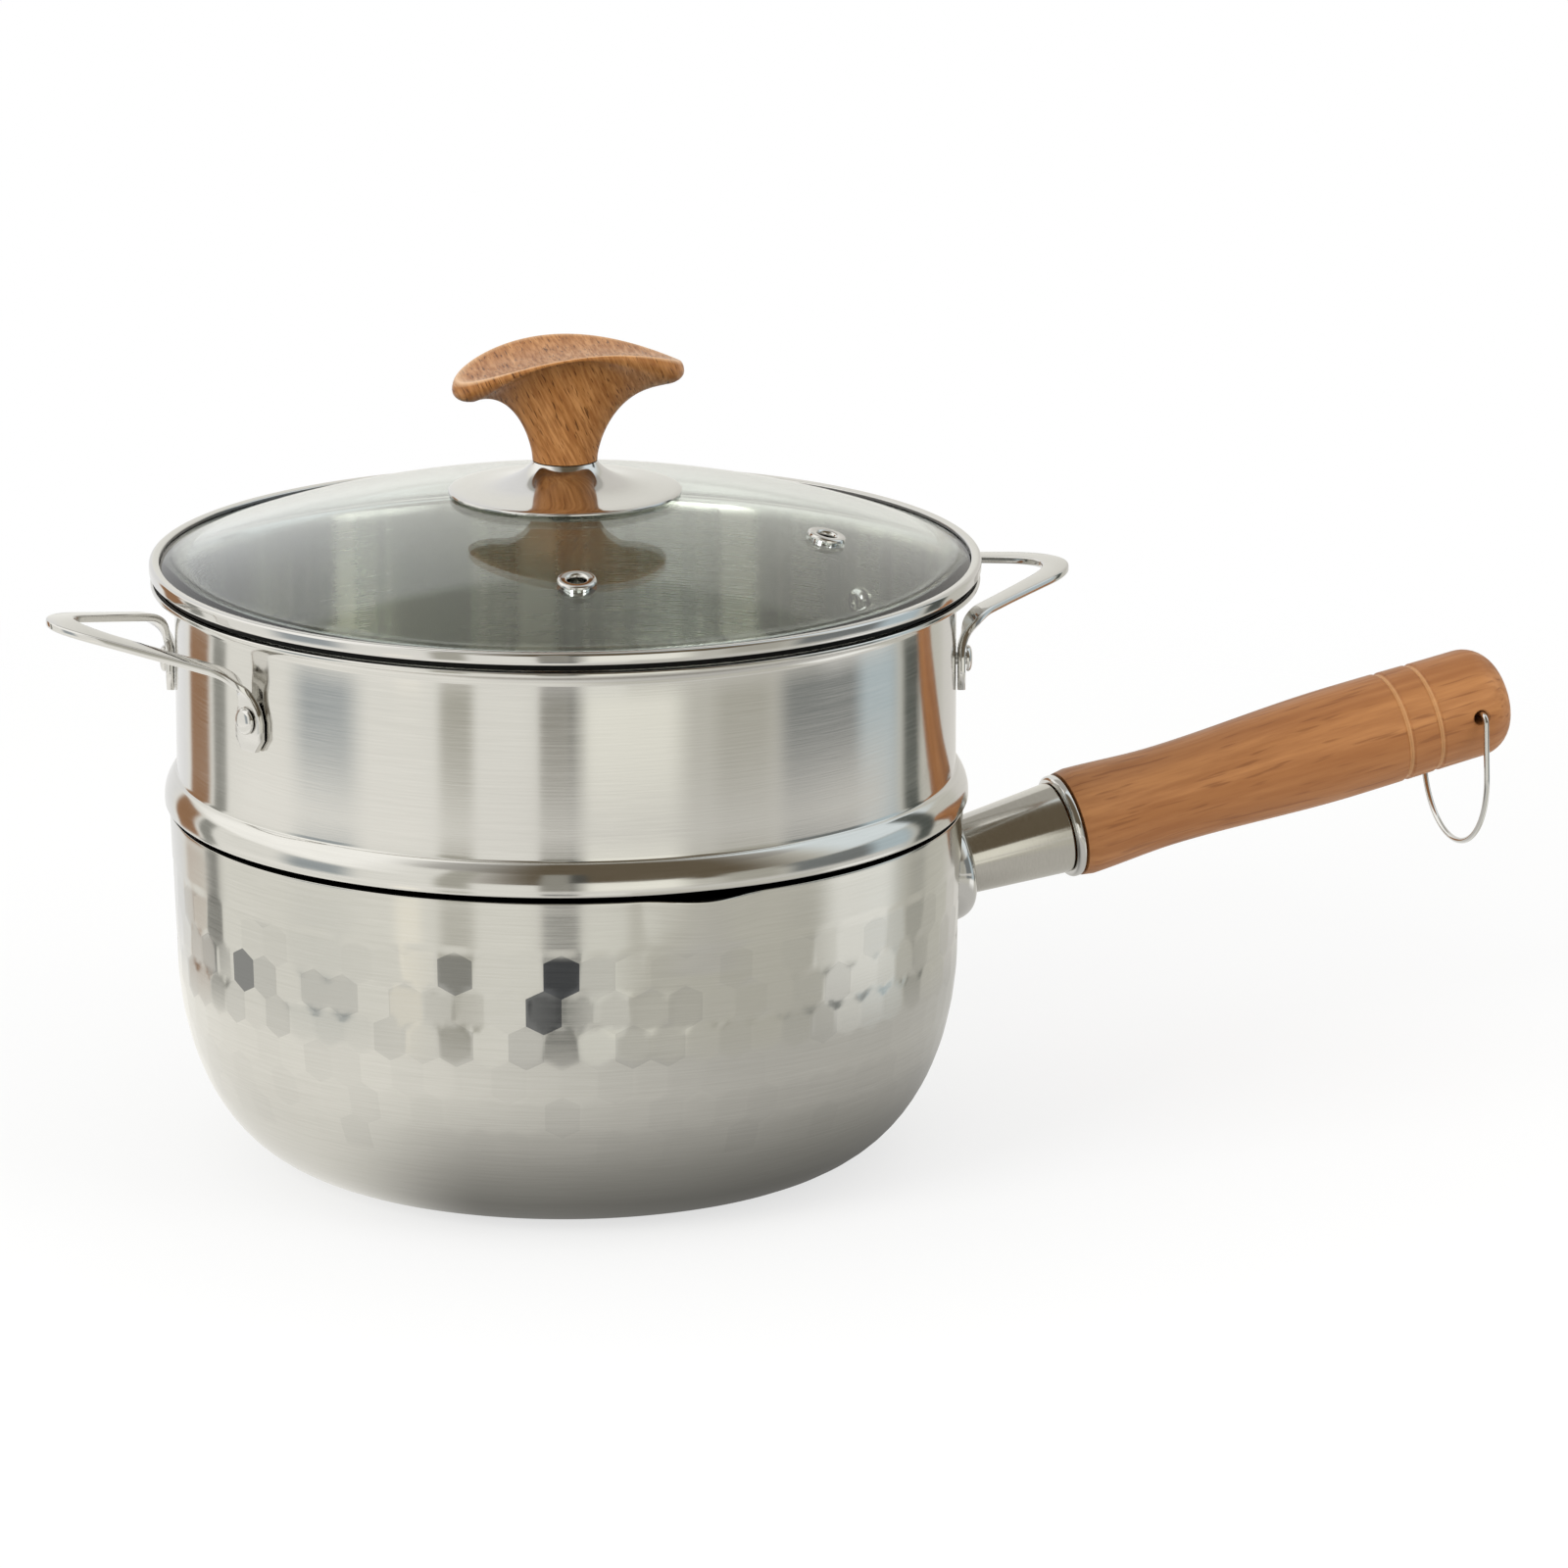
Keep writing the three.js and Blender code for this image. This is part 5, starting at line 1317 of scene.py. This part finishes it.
def loop_points(tip_height):
    """The middle of the bent bar, from the foot of one tab round to the foot of the other"""
    outwards = Vector((math.cos(LOOP_ROOT), math.sin(LOOP_ROOT), 0))
    foot = outwards * LOOP_MIDDLE + Vector((0, 0, LOOP_TAB_BOTTOM))
    corner = outwards * (LOOP_MIDDLE + LOOP_STANDOFF) + Vector((0, 0, LOOP_ROOT_HEIGHT))
    apex = Vector((LOOP_TIP_MIDDLE + LOOP_TIP_ROUND, 0, tip_height))
    leg = (apex - corner).normalized()
    bend_start = outwards * LOOP_MIDDLE + Vector((0, 0, LOOP_ROOT_HEIGHT - LOOP_BEND))
    bend_end = corner + leg * LOOP_BEND
    tip_start = apex - leg * (2 * LOOP_TIP_ROUND / leg.x)
    half = [foot + Vector((0, 0, rise)) for rise in LOOP_FOOT_RISES]
    half += [half[-1].lerp(bend_start, share) for share in LOOP_TAB_SHARES]
    half += bend(bend_start, corner, bend_end, LOOP_BEND_STEPS)
    half += [bend_end.lerp(tip_start, share) for share in LOOP_LEG_SHARES]
    tip = bend(tip_start, apex, (tip_start.x, -tip_start.y, tip_start.z), LOOP_TIP_STEPS)
    other = [Vector((point.x, -point.y, point.z)) for point in reversed(half)]
    return half + tip + other, outwards, tip_start.y


def loop_bar_section():
    """The bar's rounded edge, drawn for a bar of no width; the width is added along the sweep"""
    high = LOOP_THICKNESS / 2
    corners = ((1, 1), (-1, 1), (-1, -1), (1, -1))
    section = []
    for i, (across, through) in enumerate(corners):
        for step in range(LOOP_CORNER_STEPS + 1):
            turn = (i + step / LOOP_CORNER_STEPS) * QUARTER_TURN
            x = LOOP_EDGE * math.cos(turn)
            section.append((x if abs(x) > NEAR_NOTHING else across * NEAR_NOTHING,
                            through * (high - LOOP_EDGE) + LOOP_EDGE * math.sin(turn)))
    return section


def loop_bar(name, node, turn, tip_height, material):
    points, outwards, tip_reach = loop_points(tip_height)
    faces, widths = [], []
    bend_from = LOOP_ROOT_HEIGHT - LOOP_BEND
    narrow_at = LOOP_ROOT_HEIGHT - LOOP_BEND / 2
    for point in points:
        side = -1 if point.y < 0 else 1
        facing = Vector((outwards.x, side * outwards.y, 0))
        laid = ease((point.z - bend_from) / LOOP_BEND)
        faces.append(facing.lerp(Vector((0, 0, -1)), laid))
        bar = mixed(LOOP_LEG_WIDTH, LOOP_TIP_WIDTH, ease(1 - abs(point.y) / (2 * tip_reach)))
        narrowed = ease((point.z - RIVET_HEIGHT) / (narrow_at - RIVET_HEIGHT))
        taper = mixed(LOOP_FOOT_SHARE, 1, min((point.z - LOOP_TAB_BOTTOM) / LOOP_FOOT_ROUND, 1))
        widths.append(mixed(LOOP_TAB_WIDTH, bar, narrowed) * taper)
    bm = swept(loop_bar_section(), path_stations(points, faces, widths))
    moved(bm, Matrix.Rotation(STEAMER_TURN + turn, 4, "Z"))
    piece(name, bm, "steamer", node, material, sharp=40)


def tab_rivet(name, node, turn, material):
    inner_top, outer_top = RIVET_INNER - RIVET_RISE, RIVET_OUTER + RIVET_RISE
    seat = RIVET_HEAD - RIVET_EDGE
    section = [(0, inner_top)]
    section += bend((RIVET_FLAT, inner_top), (RIVET_HEAD, inner_top),
                    (RIVET_HEAD, RIVET_INNER - RIVET_EDGE), steps=10)
    section += [(seat, RIVET_INNER), (RIVET_SHANK, RIVET_INNER), (RIVET_SHANK, RIVET_OUTER),
                (seat, RIVET_OUTER)]
    section += bend((RIVET_HEAD, RIVET_OUTER + RIVET_EDGE), (RIVET_HEAD, outer_top),
                    (RIVET_FLAT, outer_top), steps=10)
    section.append((0, outer_top))
    bm = turned(section, RIVET_STEPS, closed=False)
    moved(bm, Matrix.Translation((0, 0, RIVET_HEIGHT)) @ Matrix.Rotation(QUARTER_TURN, 4, "Y"))
    moved(bm, Matrix.Rotation(STEAMER_TURN + turn, 4, "Z"))
    piece(name, bm, "steamer", node, material)


def steamer_handles(material):
    for hand, turn, front in (("right", 0, -1), ("left", math.pi, 1)):
        loop_bar(f"loop_bar_{hand}", f"loop_handle_{hand}", turn, LOOP_TIPS[hand], material)
        for place, side in (("front", front), ("back", -front)):
            tab_rivet(f"tab_rivet_{hand}_{place}", f"handle_rivet_{hand}_{place}",
                      turn + side * LOOP_ROOT, material)


# Lid

def dome_height(sphere, radius):
    return DOME_CENTRE + math.sqrt(sphere ** 2 - radius ** 2)


def on_dome(bm, degrees):
    """Lays a piece drawn about Z at one of the vents, square to the glass"""
    lean = math.asin(VENT_AT / DOME_RADIUS)
    place = Matrix.Translation((0, 0, DOME_CENTRE)) @ Matrix.Rotation(math.radians(degrees), 4, "Z")
    return moved(bm, place @ Matrix.Rotation(lean, 4, "Y"))


def glass_dome(material):
    under = DOME_RADIUS - GLASS_THICKNESS
    radii = [i / GLASS_RINGS * (GLASS_RADIUS - GLASS_RINGS_END) for i in range(GLASS_RINGS + 1)]
    edge = GLASS_RADIUS - GLASS_EDGE
    section = [(radius, max(GLASS_FLOOR, dome_height(under, radius))) for radius in radii]
    section += rounded([
        (edge, GLASS_FLOOR, 0),
        (GLASS_RADIUS, GLASS_FLOOR, GLASS_EDGE_ROUND),
        (GLASS_RADIUS, dome_height(DOME_RADIUS, GLASS_RADIUS), GLASS_EDGE_ROUND),
        (edge, dome_height(DOME_RADIUS, edge), 0),
    ])
    section += [(radius, dome_height(DOME_RADIUS, radius)) for radius in reversed(radii)]
    tools = [rod(GLASS_BORE, GLASS_FLOOR, DOME_CROWN + GLASS_THICKNESS)]
    for degrees in VENT_TURNS.values():
        barrel = rod(EYELET_BARREL + FIT, under - GLASS_THICKNESS, DOME_RADIUS + GLASS_THICKNESS)
        tools.append(on_dome(barrel, degrees))
    bm = cut(turned(section, LID_STEPS, closed=False), tools)
    piece("glass_dome", bm, "lid", "lid_glass", material, sharp=50)


def lid_band(material):
    section = rounded([
        (RIM_HOOK_RADIUS, RIM_SEAT, RIM_HOOK_ROUND),
        (RIM_GROOVE_RADIUS, RIM_SEAT, 0),
        (RIM_GROOVE_RADIUS, RIM_BEAD_BOTTOM, 0),
        (RIM_RADIUS, RIM_BEAD_BOTTOM, RIM_BEAD_ROUND),
        (RIM_RADIUS, RIM_TOP, RIM_TOP_ROUND),
        (RIM_LIP_RADIUS, RIM_TOP - RIM_LIP_DROP, RIM_LIP_ROUND),
        (RIM_LIP_RADIUS, POCKET_TOP, 0),
        (POCKET_RADIUS, POCKET_TOP, 0),
        (POCKET_RADIUS, POCKET_FLOOR, 0),
        (RIM_HOOK_RADIUS, POCKET_FLOOR, RIM_HOOK_ROUND),
    ], steps=7)
    piece("lid_band", turned(section, LID_STEPS), "lid", "lid_rim", material)


def vent_eyelet(name, node, degrees, material):
    above = DOME_RADIUS + FIT / 2
    below = DOME_RADIUS - GLASS_THICKNESS - FIT / 2
    top, bottom = above + EYELET_RISE, below - EYELET_RISE
    half = (EYELET_HOLE + EYELET_FLANGE) / 2
    section = bend((EYELET_FLANGE, above), (EYELET_FLANGE, above + EYELET_RISE * EYELET_BULGE), (half, top))
    section += bend((half - EYELET_FLAT, top), (EYELET_HOLE, top), (EYELET_HOLE, above - EYELET_INTO))
    section += bend((EYELET_HOLE, below + EYELET_INTO), (EYELET_HOLE, bottom), (half, bottom))
    section += bend((half + EYELET_FLAT, bottom), (EYELET_FLANGE, bottom), (EYELET_FLANGE, below))
    section += [(EYELET_BARREL, below), (EYELET_BARREL, above)]
    bm = on_dome(turned(section, EYELET_STEPS), degrees)
    piece(name, bm, "lid", node, material)


def knob_skirt(material):
    edge = dome_height(DOME_RADIUS, SKIRT_DISC) + FIT
    edge_top = edge + SKIRT_SHEET
    section = rounded([
        (SKIRT_DISC - SKIRT_EDGE, edge, 0),
        (SKIRT_DISC, edge, SKIRT_LOW_ROUND),
        (SKIRT_DISC, edge_top, SKIRT_HIGH_ROUND),
        (SKIRT_DISC - SKIRT_LEAD, edge_top + SKIRT_LEAD_RISE, 0),
    ])
    waist = Vector((KNOB_NECK + SKIRT_WAIST, SKIRT_WAIST_HEIGHT))
    rim = Vector((SKIRT_DISC - SKIRT_EDGE, edge_top + SKIRT_EDGE_RISE))
    fillet = waist + (rim - waist).normalized() * SKIRT_FILLET
    section += [rim, rim.lerp(fillet, 0.5)]
    section += bend(fillet, waist, (KNOB_NECK, SKIRT_TOP), steps=28)
    under = SKIRT_TOP - SKIRT_SHEET
    inner_neck = KNOB_NECK - SKIRT_SHEET
    inwards = Vector((-SKIRT_SHEET, -SKIRT_SHEET))
    section += [(FIXING_BORE, SKIRT_TOP), (FIXING_BORE, under), (inner_neck, under)]
    section += bend((inner_neck, under - SKIRT_NECK_DROP), waist + inwards, fillet + inwards, steps=20)
    section.append((SKIRT_DISC - SKIRT_UNDER_EDGE, edge))
    piece("steel_skirt", turned(section, SKIRT_STEPS), "lid", "knob_skirt", material)


def knob_rings():
    """Half length, half width, heights of the ends and of the sides, and share of the twist, ring by ring"""
    rings = []
    flare_end = KNOB_LONG - KNOB_END_ROUND
    for i in range(KNOB_UNDER_STEPS + 1):
        turn = i / KNOB_UNDER_STEPS * QUARTER_TURN
        spread = 1 - max(0, math.cos(turn)) ** KNOB_SPREAD_POWER
        rise = math.sin(turn) ** KNOB_RISE_POWER
        rings.append((mixed(KNOB_NECK, flare_end, spread), mixed(KNOB_NECK, KNOB_WIDE, spread),
                      KNOB_END_RISE * rise, KNOB_SIDE_RISE * rise, spread))
    for i in range(1, KNOB_EDGE_STEPS + 1):
        turn = i / KNOB_EDGE_STEPS * math.pi
        out = math.sin(turn)
        up = KNOB_EDGE_PEAK * (1 - math.cos(turn)) / 2 + (1 - KNOB_EDGE_PEAK) * ease(i / KNOB_EDGE_STEPS)
        inset = KNOB_END_ROUND if turn < QUARTER_TURN else KNOB_TOP_INSET
        rings.append((KNOB_LONG - inset * (1 - out), KNOB_WIDE + KNOB_EDGE * out,
                      KNOB_END_RISE + KNOB_END_THICK * up, KNOB_SIDE_RISE + KNOB_SIDE_THICK * up, 1))
    end_top, side_top = KNOB_END_RISE + KNOB_END_THICK, KNOB_SIDE_RISE + KNOB_SIDE_THICK
    for scale in KNOB_TOP_SCALES:
        hollow = KNOB_DISH * (1 - scale * scale)
        rings.append(((KNOB_LONG - KNOB_TOP_INSET) * scale, KNOB_WIDE * scale,
                      mixed(side_top, end_top, scale * scale) - hollow, side_top - hollow, 1))
    return rings


def wooden_knob(material):
    rings = knob_rings()
    bm = tube(KNOB_SIDES, len(rings))
    rim_highlight = bm.verts.layers.float.new(KNOB_RIM_HIGHLIGHT)
    # the rim ring that gets the painted highlight
    highlight_ring = KNOB_UNDER_STEPS + KNOB_EDGE_STEPS - 1
    for vert in bm.verts:
        turn = math.atan2(vert.co.y, vert.co.x)
        ring = round(vert.co.z)
        length, width, ends, sides, twist = rings[ring]
        vert[rim_highlight] = max(0, 1 - abs(highlight_ring - ring) / KNOB_HIGHLIGHT_RINGS)
        x, y = length * math.cos(turn), width * math.sin(turn)
        lean = (KNOB_TILT * x - KNOB_TWIST * x * y - KNOB_BACK_DROP * max(0, y / KNOB_WIDE)) * twist
        height = mixed(sides, ends, math.cos(turn) ** 2) + lean
        vert.co = Vector((x + KNOB_SHIFT * twist, y, KNOB_BOTTOM + height))
    moved(bm, Matrix.Rotation(KNOB_TURN, 4, "Z"))
    piece("wooden_knob", bm, "lid", "lid_knob", material, sharp=60)


def ring_on_bolt(name, node, radius, heights, material):
    low, high = heights
    section = rounded([
        (FIXING_BORE, low, 0),
        (radius, low, RING_EDGE),
        (radius, high, RING_EDGE),
        (FIXING_BORE, high, 0),
    ], steps=3)
    piece(name, turned(section, RING_STEPS), "lid", node, material)


def knob_bolt(material):
    bm = bmesh.new()
    bmesh.ops.create_cone(bm, cap_ends=True, segments=BOLT_SIDES, radius1=BOLT_HEAD, radius2=BOLT_HEAD,
                          depth=BOLT_SEAT - BOLT_LOW)
    bmesh.ops.translate(bm, vec=(0, 0, (BOLT_SEAT + BOLT_LOW) / 2), verts=bm.verts)
    bmesh.ops.bevel(bm, geom=list(bm.edges), offset=BOLT_EDGE, segments=2, profile=0.5, affect="EDGES",
                    material=-1)
    shank = ((0, BOLT_SEAT), (BOLT_RADIUS, BOLT_SEAT), (BOLT_RADIUS, BOLT_SHANK_END),
             (BOLT_TIP_RADIUS, BOLT_TIP), (0, BOLT_TIP))
    take_in(bm, turned(shank, BOLT_STEPS, closed=False))
    moved(bm, Matrix.Rotation(STEAMER_TURN, 4, "Z"))
    piece("bolt_under_lid", bm, "lid", "knob_bolt", material)


# Studio

def side_of(tree, bearing):
    """The bearing's sine: -1 at the camera's left, 1 at its right"""
    return math_node(tree, "SINE", math_node(tree, "RADIANS", bearing))


def mirrored_floor(tree, place, away):
    """The floor as metal shows it, as a glow with painted light and shade: its tone, darkest near the pan as
    the pan's painted shadow, lighter on the left and darker on the right, and how much of it is there, near
    the pan and in a far ring
    """
    bearing = bearing_of(tree, place)
    tone = FLOOR_SHADE_BY_DISTANCE[0][1]
    for (start, low), (end, high) in zip(FLOOR_SHADE_BY_DISTANCE, FLOOR_SHADE_BY_DISTANCE[1:]):
        tone = math_node(tree, "ADD", ramped(tree, away, start, end, 0.0, high - low, kind="LINEAR"), tone)
    short = math_node(tree, "SUBTRACT", 1.0, tone)
    side = side_of(tree, bearing)
    lift = ramped(tree, side, *FLOOR_LIFT_SIDES, FLOOR_LEFT_LIFT, 0.0)
    tone = math_node(tree, "MULTIPLY_ADD", short, lift, tone)
    right = ramped(tree, away, *FLOOR_RIGHT_REACH, FLOOR_RIGHT, FLOOR_RIGHT_FAR)
    tone = math_node(tree, "MULTIPLY", tone, ramped(tree, side, *FLOOR_SIDES, FLOOR_LEFT, right))
    near = ramped(tree, away, *FLOOR_NEAR, 1.0, 0.0)
    ring = math_node(tree, "MULTIPLY", ramped(tree, away, *FLOOR_RING_START),
                     ramped(tree, away, *FLOOR_RING_END, 1.0, 0.0))
    aside = math_node(tree, "ABSOLUTE", bearing)
    ring = math_node(tree, "MULTIPLY", ring, ramped(tree, aside, *FLOOR_RING_BEARINGS, 1.0, 0.0))
    light = add(tree, "Emission", {"Color": rgba(FLOOR_TINT), "Strength": tone}).outputs[0]
    return light, math_node(tree, "ADD", near, ring)


def straight_rays(tree, path):
    """The rays that the camera sends, also through the glass"""
    return math_node(tree, "MAXIMUM", path.outputs["Is Camera Ray"], path.outputs["Is Transmission Ray"])


def studio_floor():
    bm = bmesh.new()
    bmesh.ops.create_circle(bm, cap_ends=True, segments=FLOOR_STEPS, radius=FLOOR_RADIUS * MM)
    mesh = bpy.data.meshes.new("pale_floor")
    bm.to_mesh(mesh)
    bm.free()
    material = bpy.data.materials.new("pale_floor")
    material.use_nodes = True
    tree = material.node_tree
    tree.nodes.clear()
    path = add(tree, "LightPath")
    glossy = path.outputs["Is Glossy Ray"]
    place = add(tree, "TexCoord").outputs["Object"]
    away = length_of(tree, place)
    paint = add(tree, "BsdfDiffuse", {"Color": rgba(FLOOR_PAINT)}).outputs[0]
    white = add(tree, "Emission", {"Color": WHITE, "Strength": 1.0}).outputs[0]
    lit = math_node(tree, "MULTIPLY", straight_rays(tree, path), FLOOR_GLOW)
    shown = add(tree, "MixShader", {0: lit, 1: paint, 2: white}).outputs[0]
    # Metal sees the floor as a glow with a painted shadow of the pan and painted light and shade by side
    dull, covered = mirrored_floor(tree, place, away)
    shown = add(tree, "MixShader", {0: glossy, 1: shown, 2: dull}).outputs[0]
    fading = ramped(tree, away, *FLOOR_FADE, 1.0, 0.0)
    cover = add(tree, "Mix", {0: glossy, 2: fading, 3: covered}).outputs[0]
    clear = add(tree, "BsdfTransparent").outputs[0]
    edge = add(tree, "MixShader", {0: cover, 1: clear, 2: shown}).outputs[0]
    output = add(tree, "OutputMaterial")
    tree.links.new(edge, output.inputs["Surface"])
    mesh.materials.append(material)
    floor = bpy.data.objects.new("pale_floor", mesh)
    bpy.context.scene.collection.objects.link(floor)


def room_colour(tree, ray):
    """The pale room as metal sees it, by bearing from the camera and by elevation"""
    bearing = bearing_of(tree, ray)
    elevation = math_node(tree, "DEGREES", math_node(tree, "ARCSINE", height_of(tree, ray)))
    right = ramped(tree, side_of(tree, bearing), *ROOM_SIDES)
    colour = mix_colour(tree, right, rgba(ROOM_LEFT), rgba(ROOM_RIGHT))
    for centre, half, soft, lowest, highest, shade in ROOM_PANELS:
        away = math_node(tree, "ABSOLUTE", math_node(tree, "SUBTRACT", bearing, centre))
        across = ramped(tree, away, half - soft / 2, half + soft / 2, 1.0, 0.0)
        mask = math_node(tree, "MULTIPLY", across, within(tree, elevation, lowest, highest, PANEL_SOFTNESS))
        colour = mix_colour(tree, mask, colour, rgba(shade))
    return colour


def white_room():
    """White to the camera, a pale room to metal, and soft light for everything else"""
    world = bpy.data.worlds.new("white_room")
    bpy.context.scene.world = world
    world.use_nodes = True
    tree = world.node_tree
    tree.nodes.clear()
    path = add(tree, "LightPath")
    ray = add(tree, "TexCoord").outputs["Generated"]
    ambient = ramped(tree, height_of(tree, ray), *AMBIENT_RISE, AMBIENT_SIDE, AMBIENT_TOP)
    plain = mix_colour(tree, straight_rays(tree, path), ambient, WHITE)
    seen = mix_colour(tree, path.outputs["Is Glossy Ray"], plain, room_colour(tree, ray))
    light = add(tree, "Background", {"Color": seen, "Strength": 1.0})
    output = add(tree, "OutputWorld")
    tree.links.new(light.outputs[0], output.inputs["Surface"])


def soft_lamp(name, bearing, elevation, distance, size, power):
    """A square soft lamp that metal doesn't mirror, placed by its bearing from the camera"""
    lamp = bpy.data.lights.new(name, "AREA")
    lamp.shape = "SQUARE"
    lamp.size = size
    lamp.energy = power
    made = bpy.data.objects.new(name, lamp)
    turn = math.radians(bearing) + VIEW_AZIMUTH - QUARTER_TURN
    rise = math.radians(elevation)
    way = Vector((math.cos(turn) * math.cos(rise), math.sin(turn) * math.cos(rise), math.sin(rise)))
    made.location = way * distance + LAMP_AIM
    made.rotation_euler = way.to_track_quat("Z", "Y").to_euler()
    made.visible_glossy = False
    bpy.context.scene.collection.objects.link(made)


def photo_camera():
    turn, rise = -VIEW_AZIMUTH, VIEW_ELEVATION
    right = Vector((math.cos(turn), -math.sin(turn), 0))
    up = Vector((math.sin(rise) * math.sin(turn), math.sin(rise) * math.cos(turn), math.cos(rise)))
    back = right.cross(up)
    data = bpy.data.cameras.new("photo_camera")
    data.lens = VIEW_LENS
    data.sensor_width = VIEW_SENSOR
    data.clip_start, data.clip_end = VIEW_CLIP
    camera = bpy.data.objects.new("photo_camera", data)
    place = (right * VIEW_RIGHT + up * VIEW_UP + back * VIEW_DISTANCE) * MM
    axes = Matrix((right, up, back)).transposed().to_4x4()
    camera.matrix_world = Matrix.Translation(place) @ axes
    bpy.context.scene.collection.objects.link(camera)
    bpy.context.scene.camera = camera


# Scene

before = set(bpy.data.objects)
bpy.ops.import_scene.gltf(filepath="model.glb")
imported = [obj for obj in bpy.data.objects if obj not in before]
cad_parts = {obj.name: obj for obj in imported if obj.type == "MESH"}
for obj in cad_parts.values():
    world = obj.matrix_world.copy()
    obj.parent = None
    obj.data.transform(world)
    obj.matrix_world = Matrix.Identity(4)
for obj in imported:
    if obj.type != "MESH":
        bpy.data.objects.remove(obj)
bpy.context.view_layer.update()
bpy.context.scene.view_settings.view_transform = "Standard"

photo_camera()
studio_floor()
white_room()
soft_lamp("key_lamp", bearing=-42, elevation=28, distance=1.9, size=0.9, power=15)
soft_lamp("fill_lamp", bearing=60, elevation=22, distance=2.0, size=1.0, power=8)

marks = turned_marks()
grain = wood_grain()
# The group that paints shade into narrow gaps
gap = painted_gap_shade()
hammered = hammered_steel(marks)
polished = steamer_steel(marks, gap)
band = band_steel(marks, gap)
bright = bright_steel(marks)
satin = satin_steel(marks)
beech = beech_wood(grain)
knob = knob_wood(grain)
glass = clear_glass(marks)
silicone = silicone_seal(marks)

hammered_pan(hammered)
wall_flange(bright)
steel_ferrule(satin)
rolled_ring(bright)
beech_grip(beech)
grip_screw(bright)
wire_ring(bright)
steamer_insert(polished)
steamer_handles(bright)
glass_dome(glass)
lid_band(band)
for side, degrees in VENT_TURNS.items():
    vent_eyelet(f"eyelet_{side}", f"vent_eyelet_{side}", degrees, bright)
knob_skirt(bright)
wooden_knob(knob)
knob_bolt(bright)
ring_on_bolt("washer_under_lid", "knob_washer", WASHER_RADIUS, WASHER_HEIGHTS, bright)
ring_on_bolt("gasket_under_lid", "knob_gasket", GASKET_RADIUS, GASKET_HEIGHTS, silicone)
ring_on_bolt("bush_under_skirt", "knob_bush", BUSH_RADIUS, BUSH_HEIGHTS, silicone)
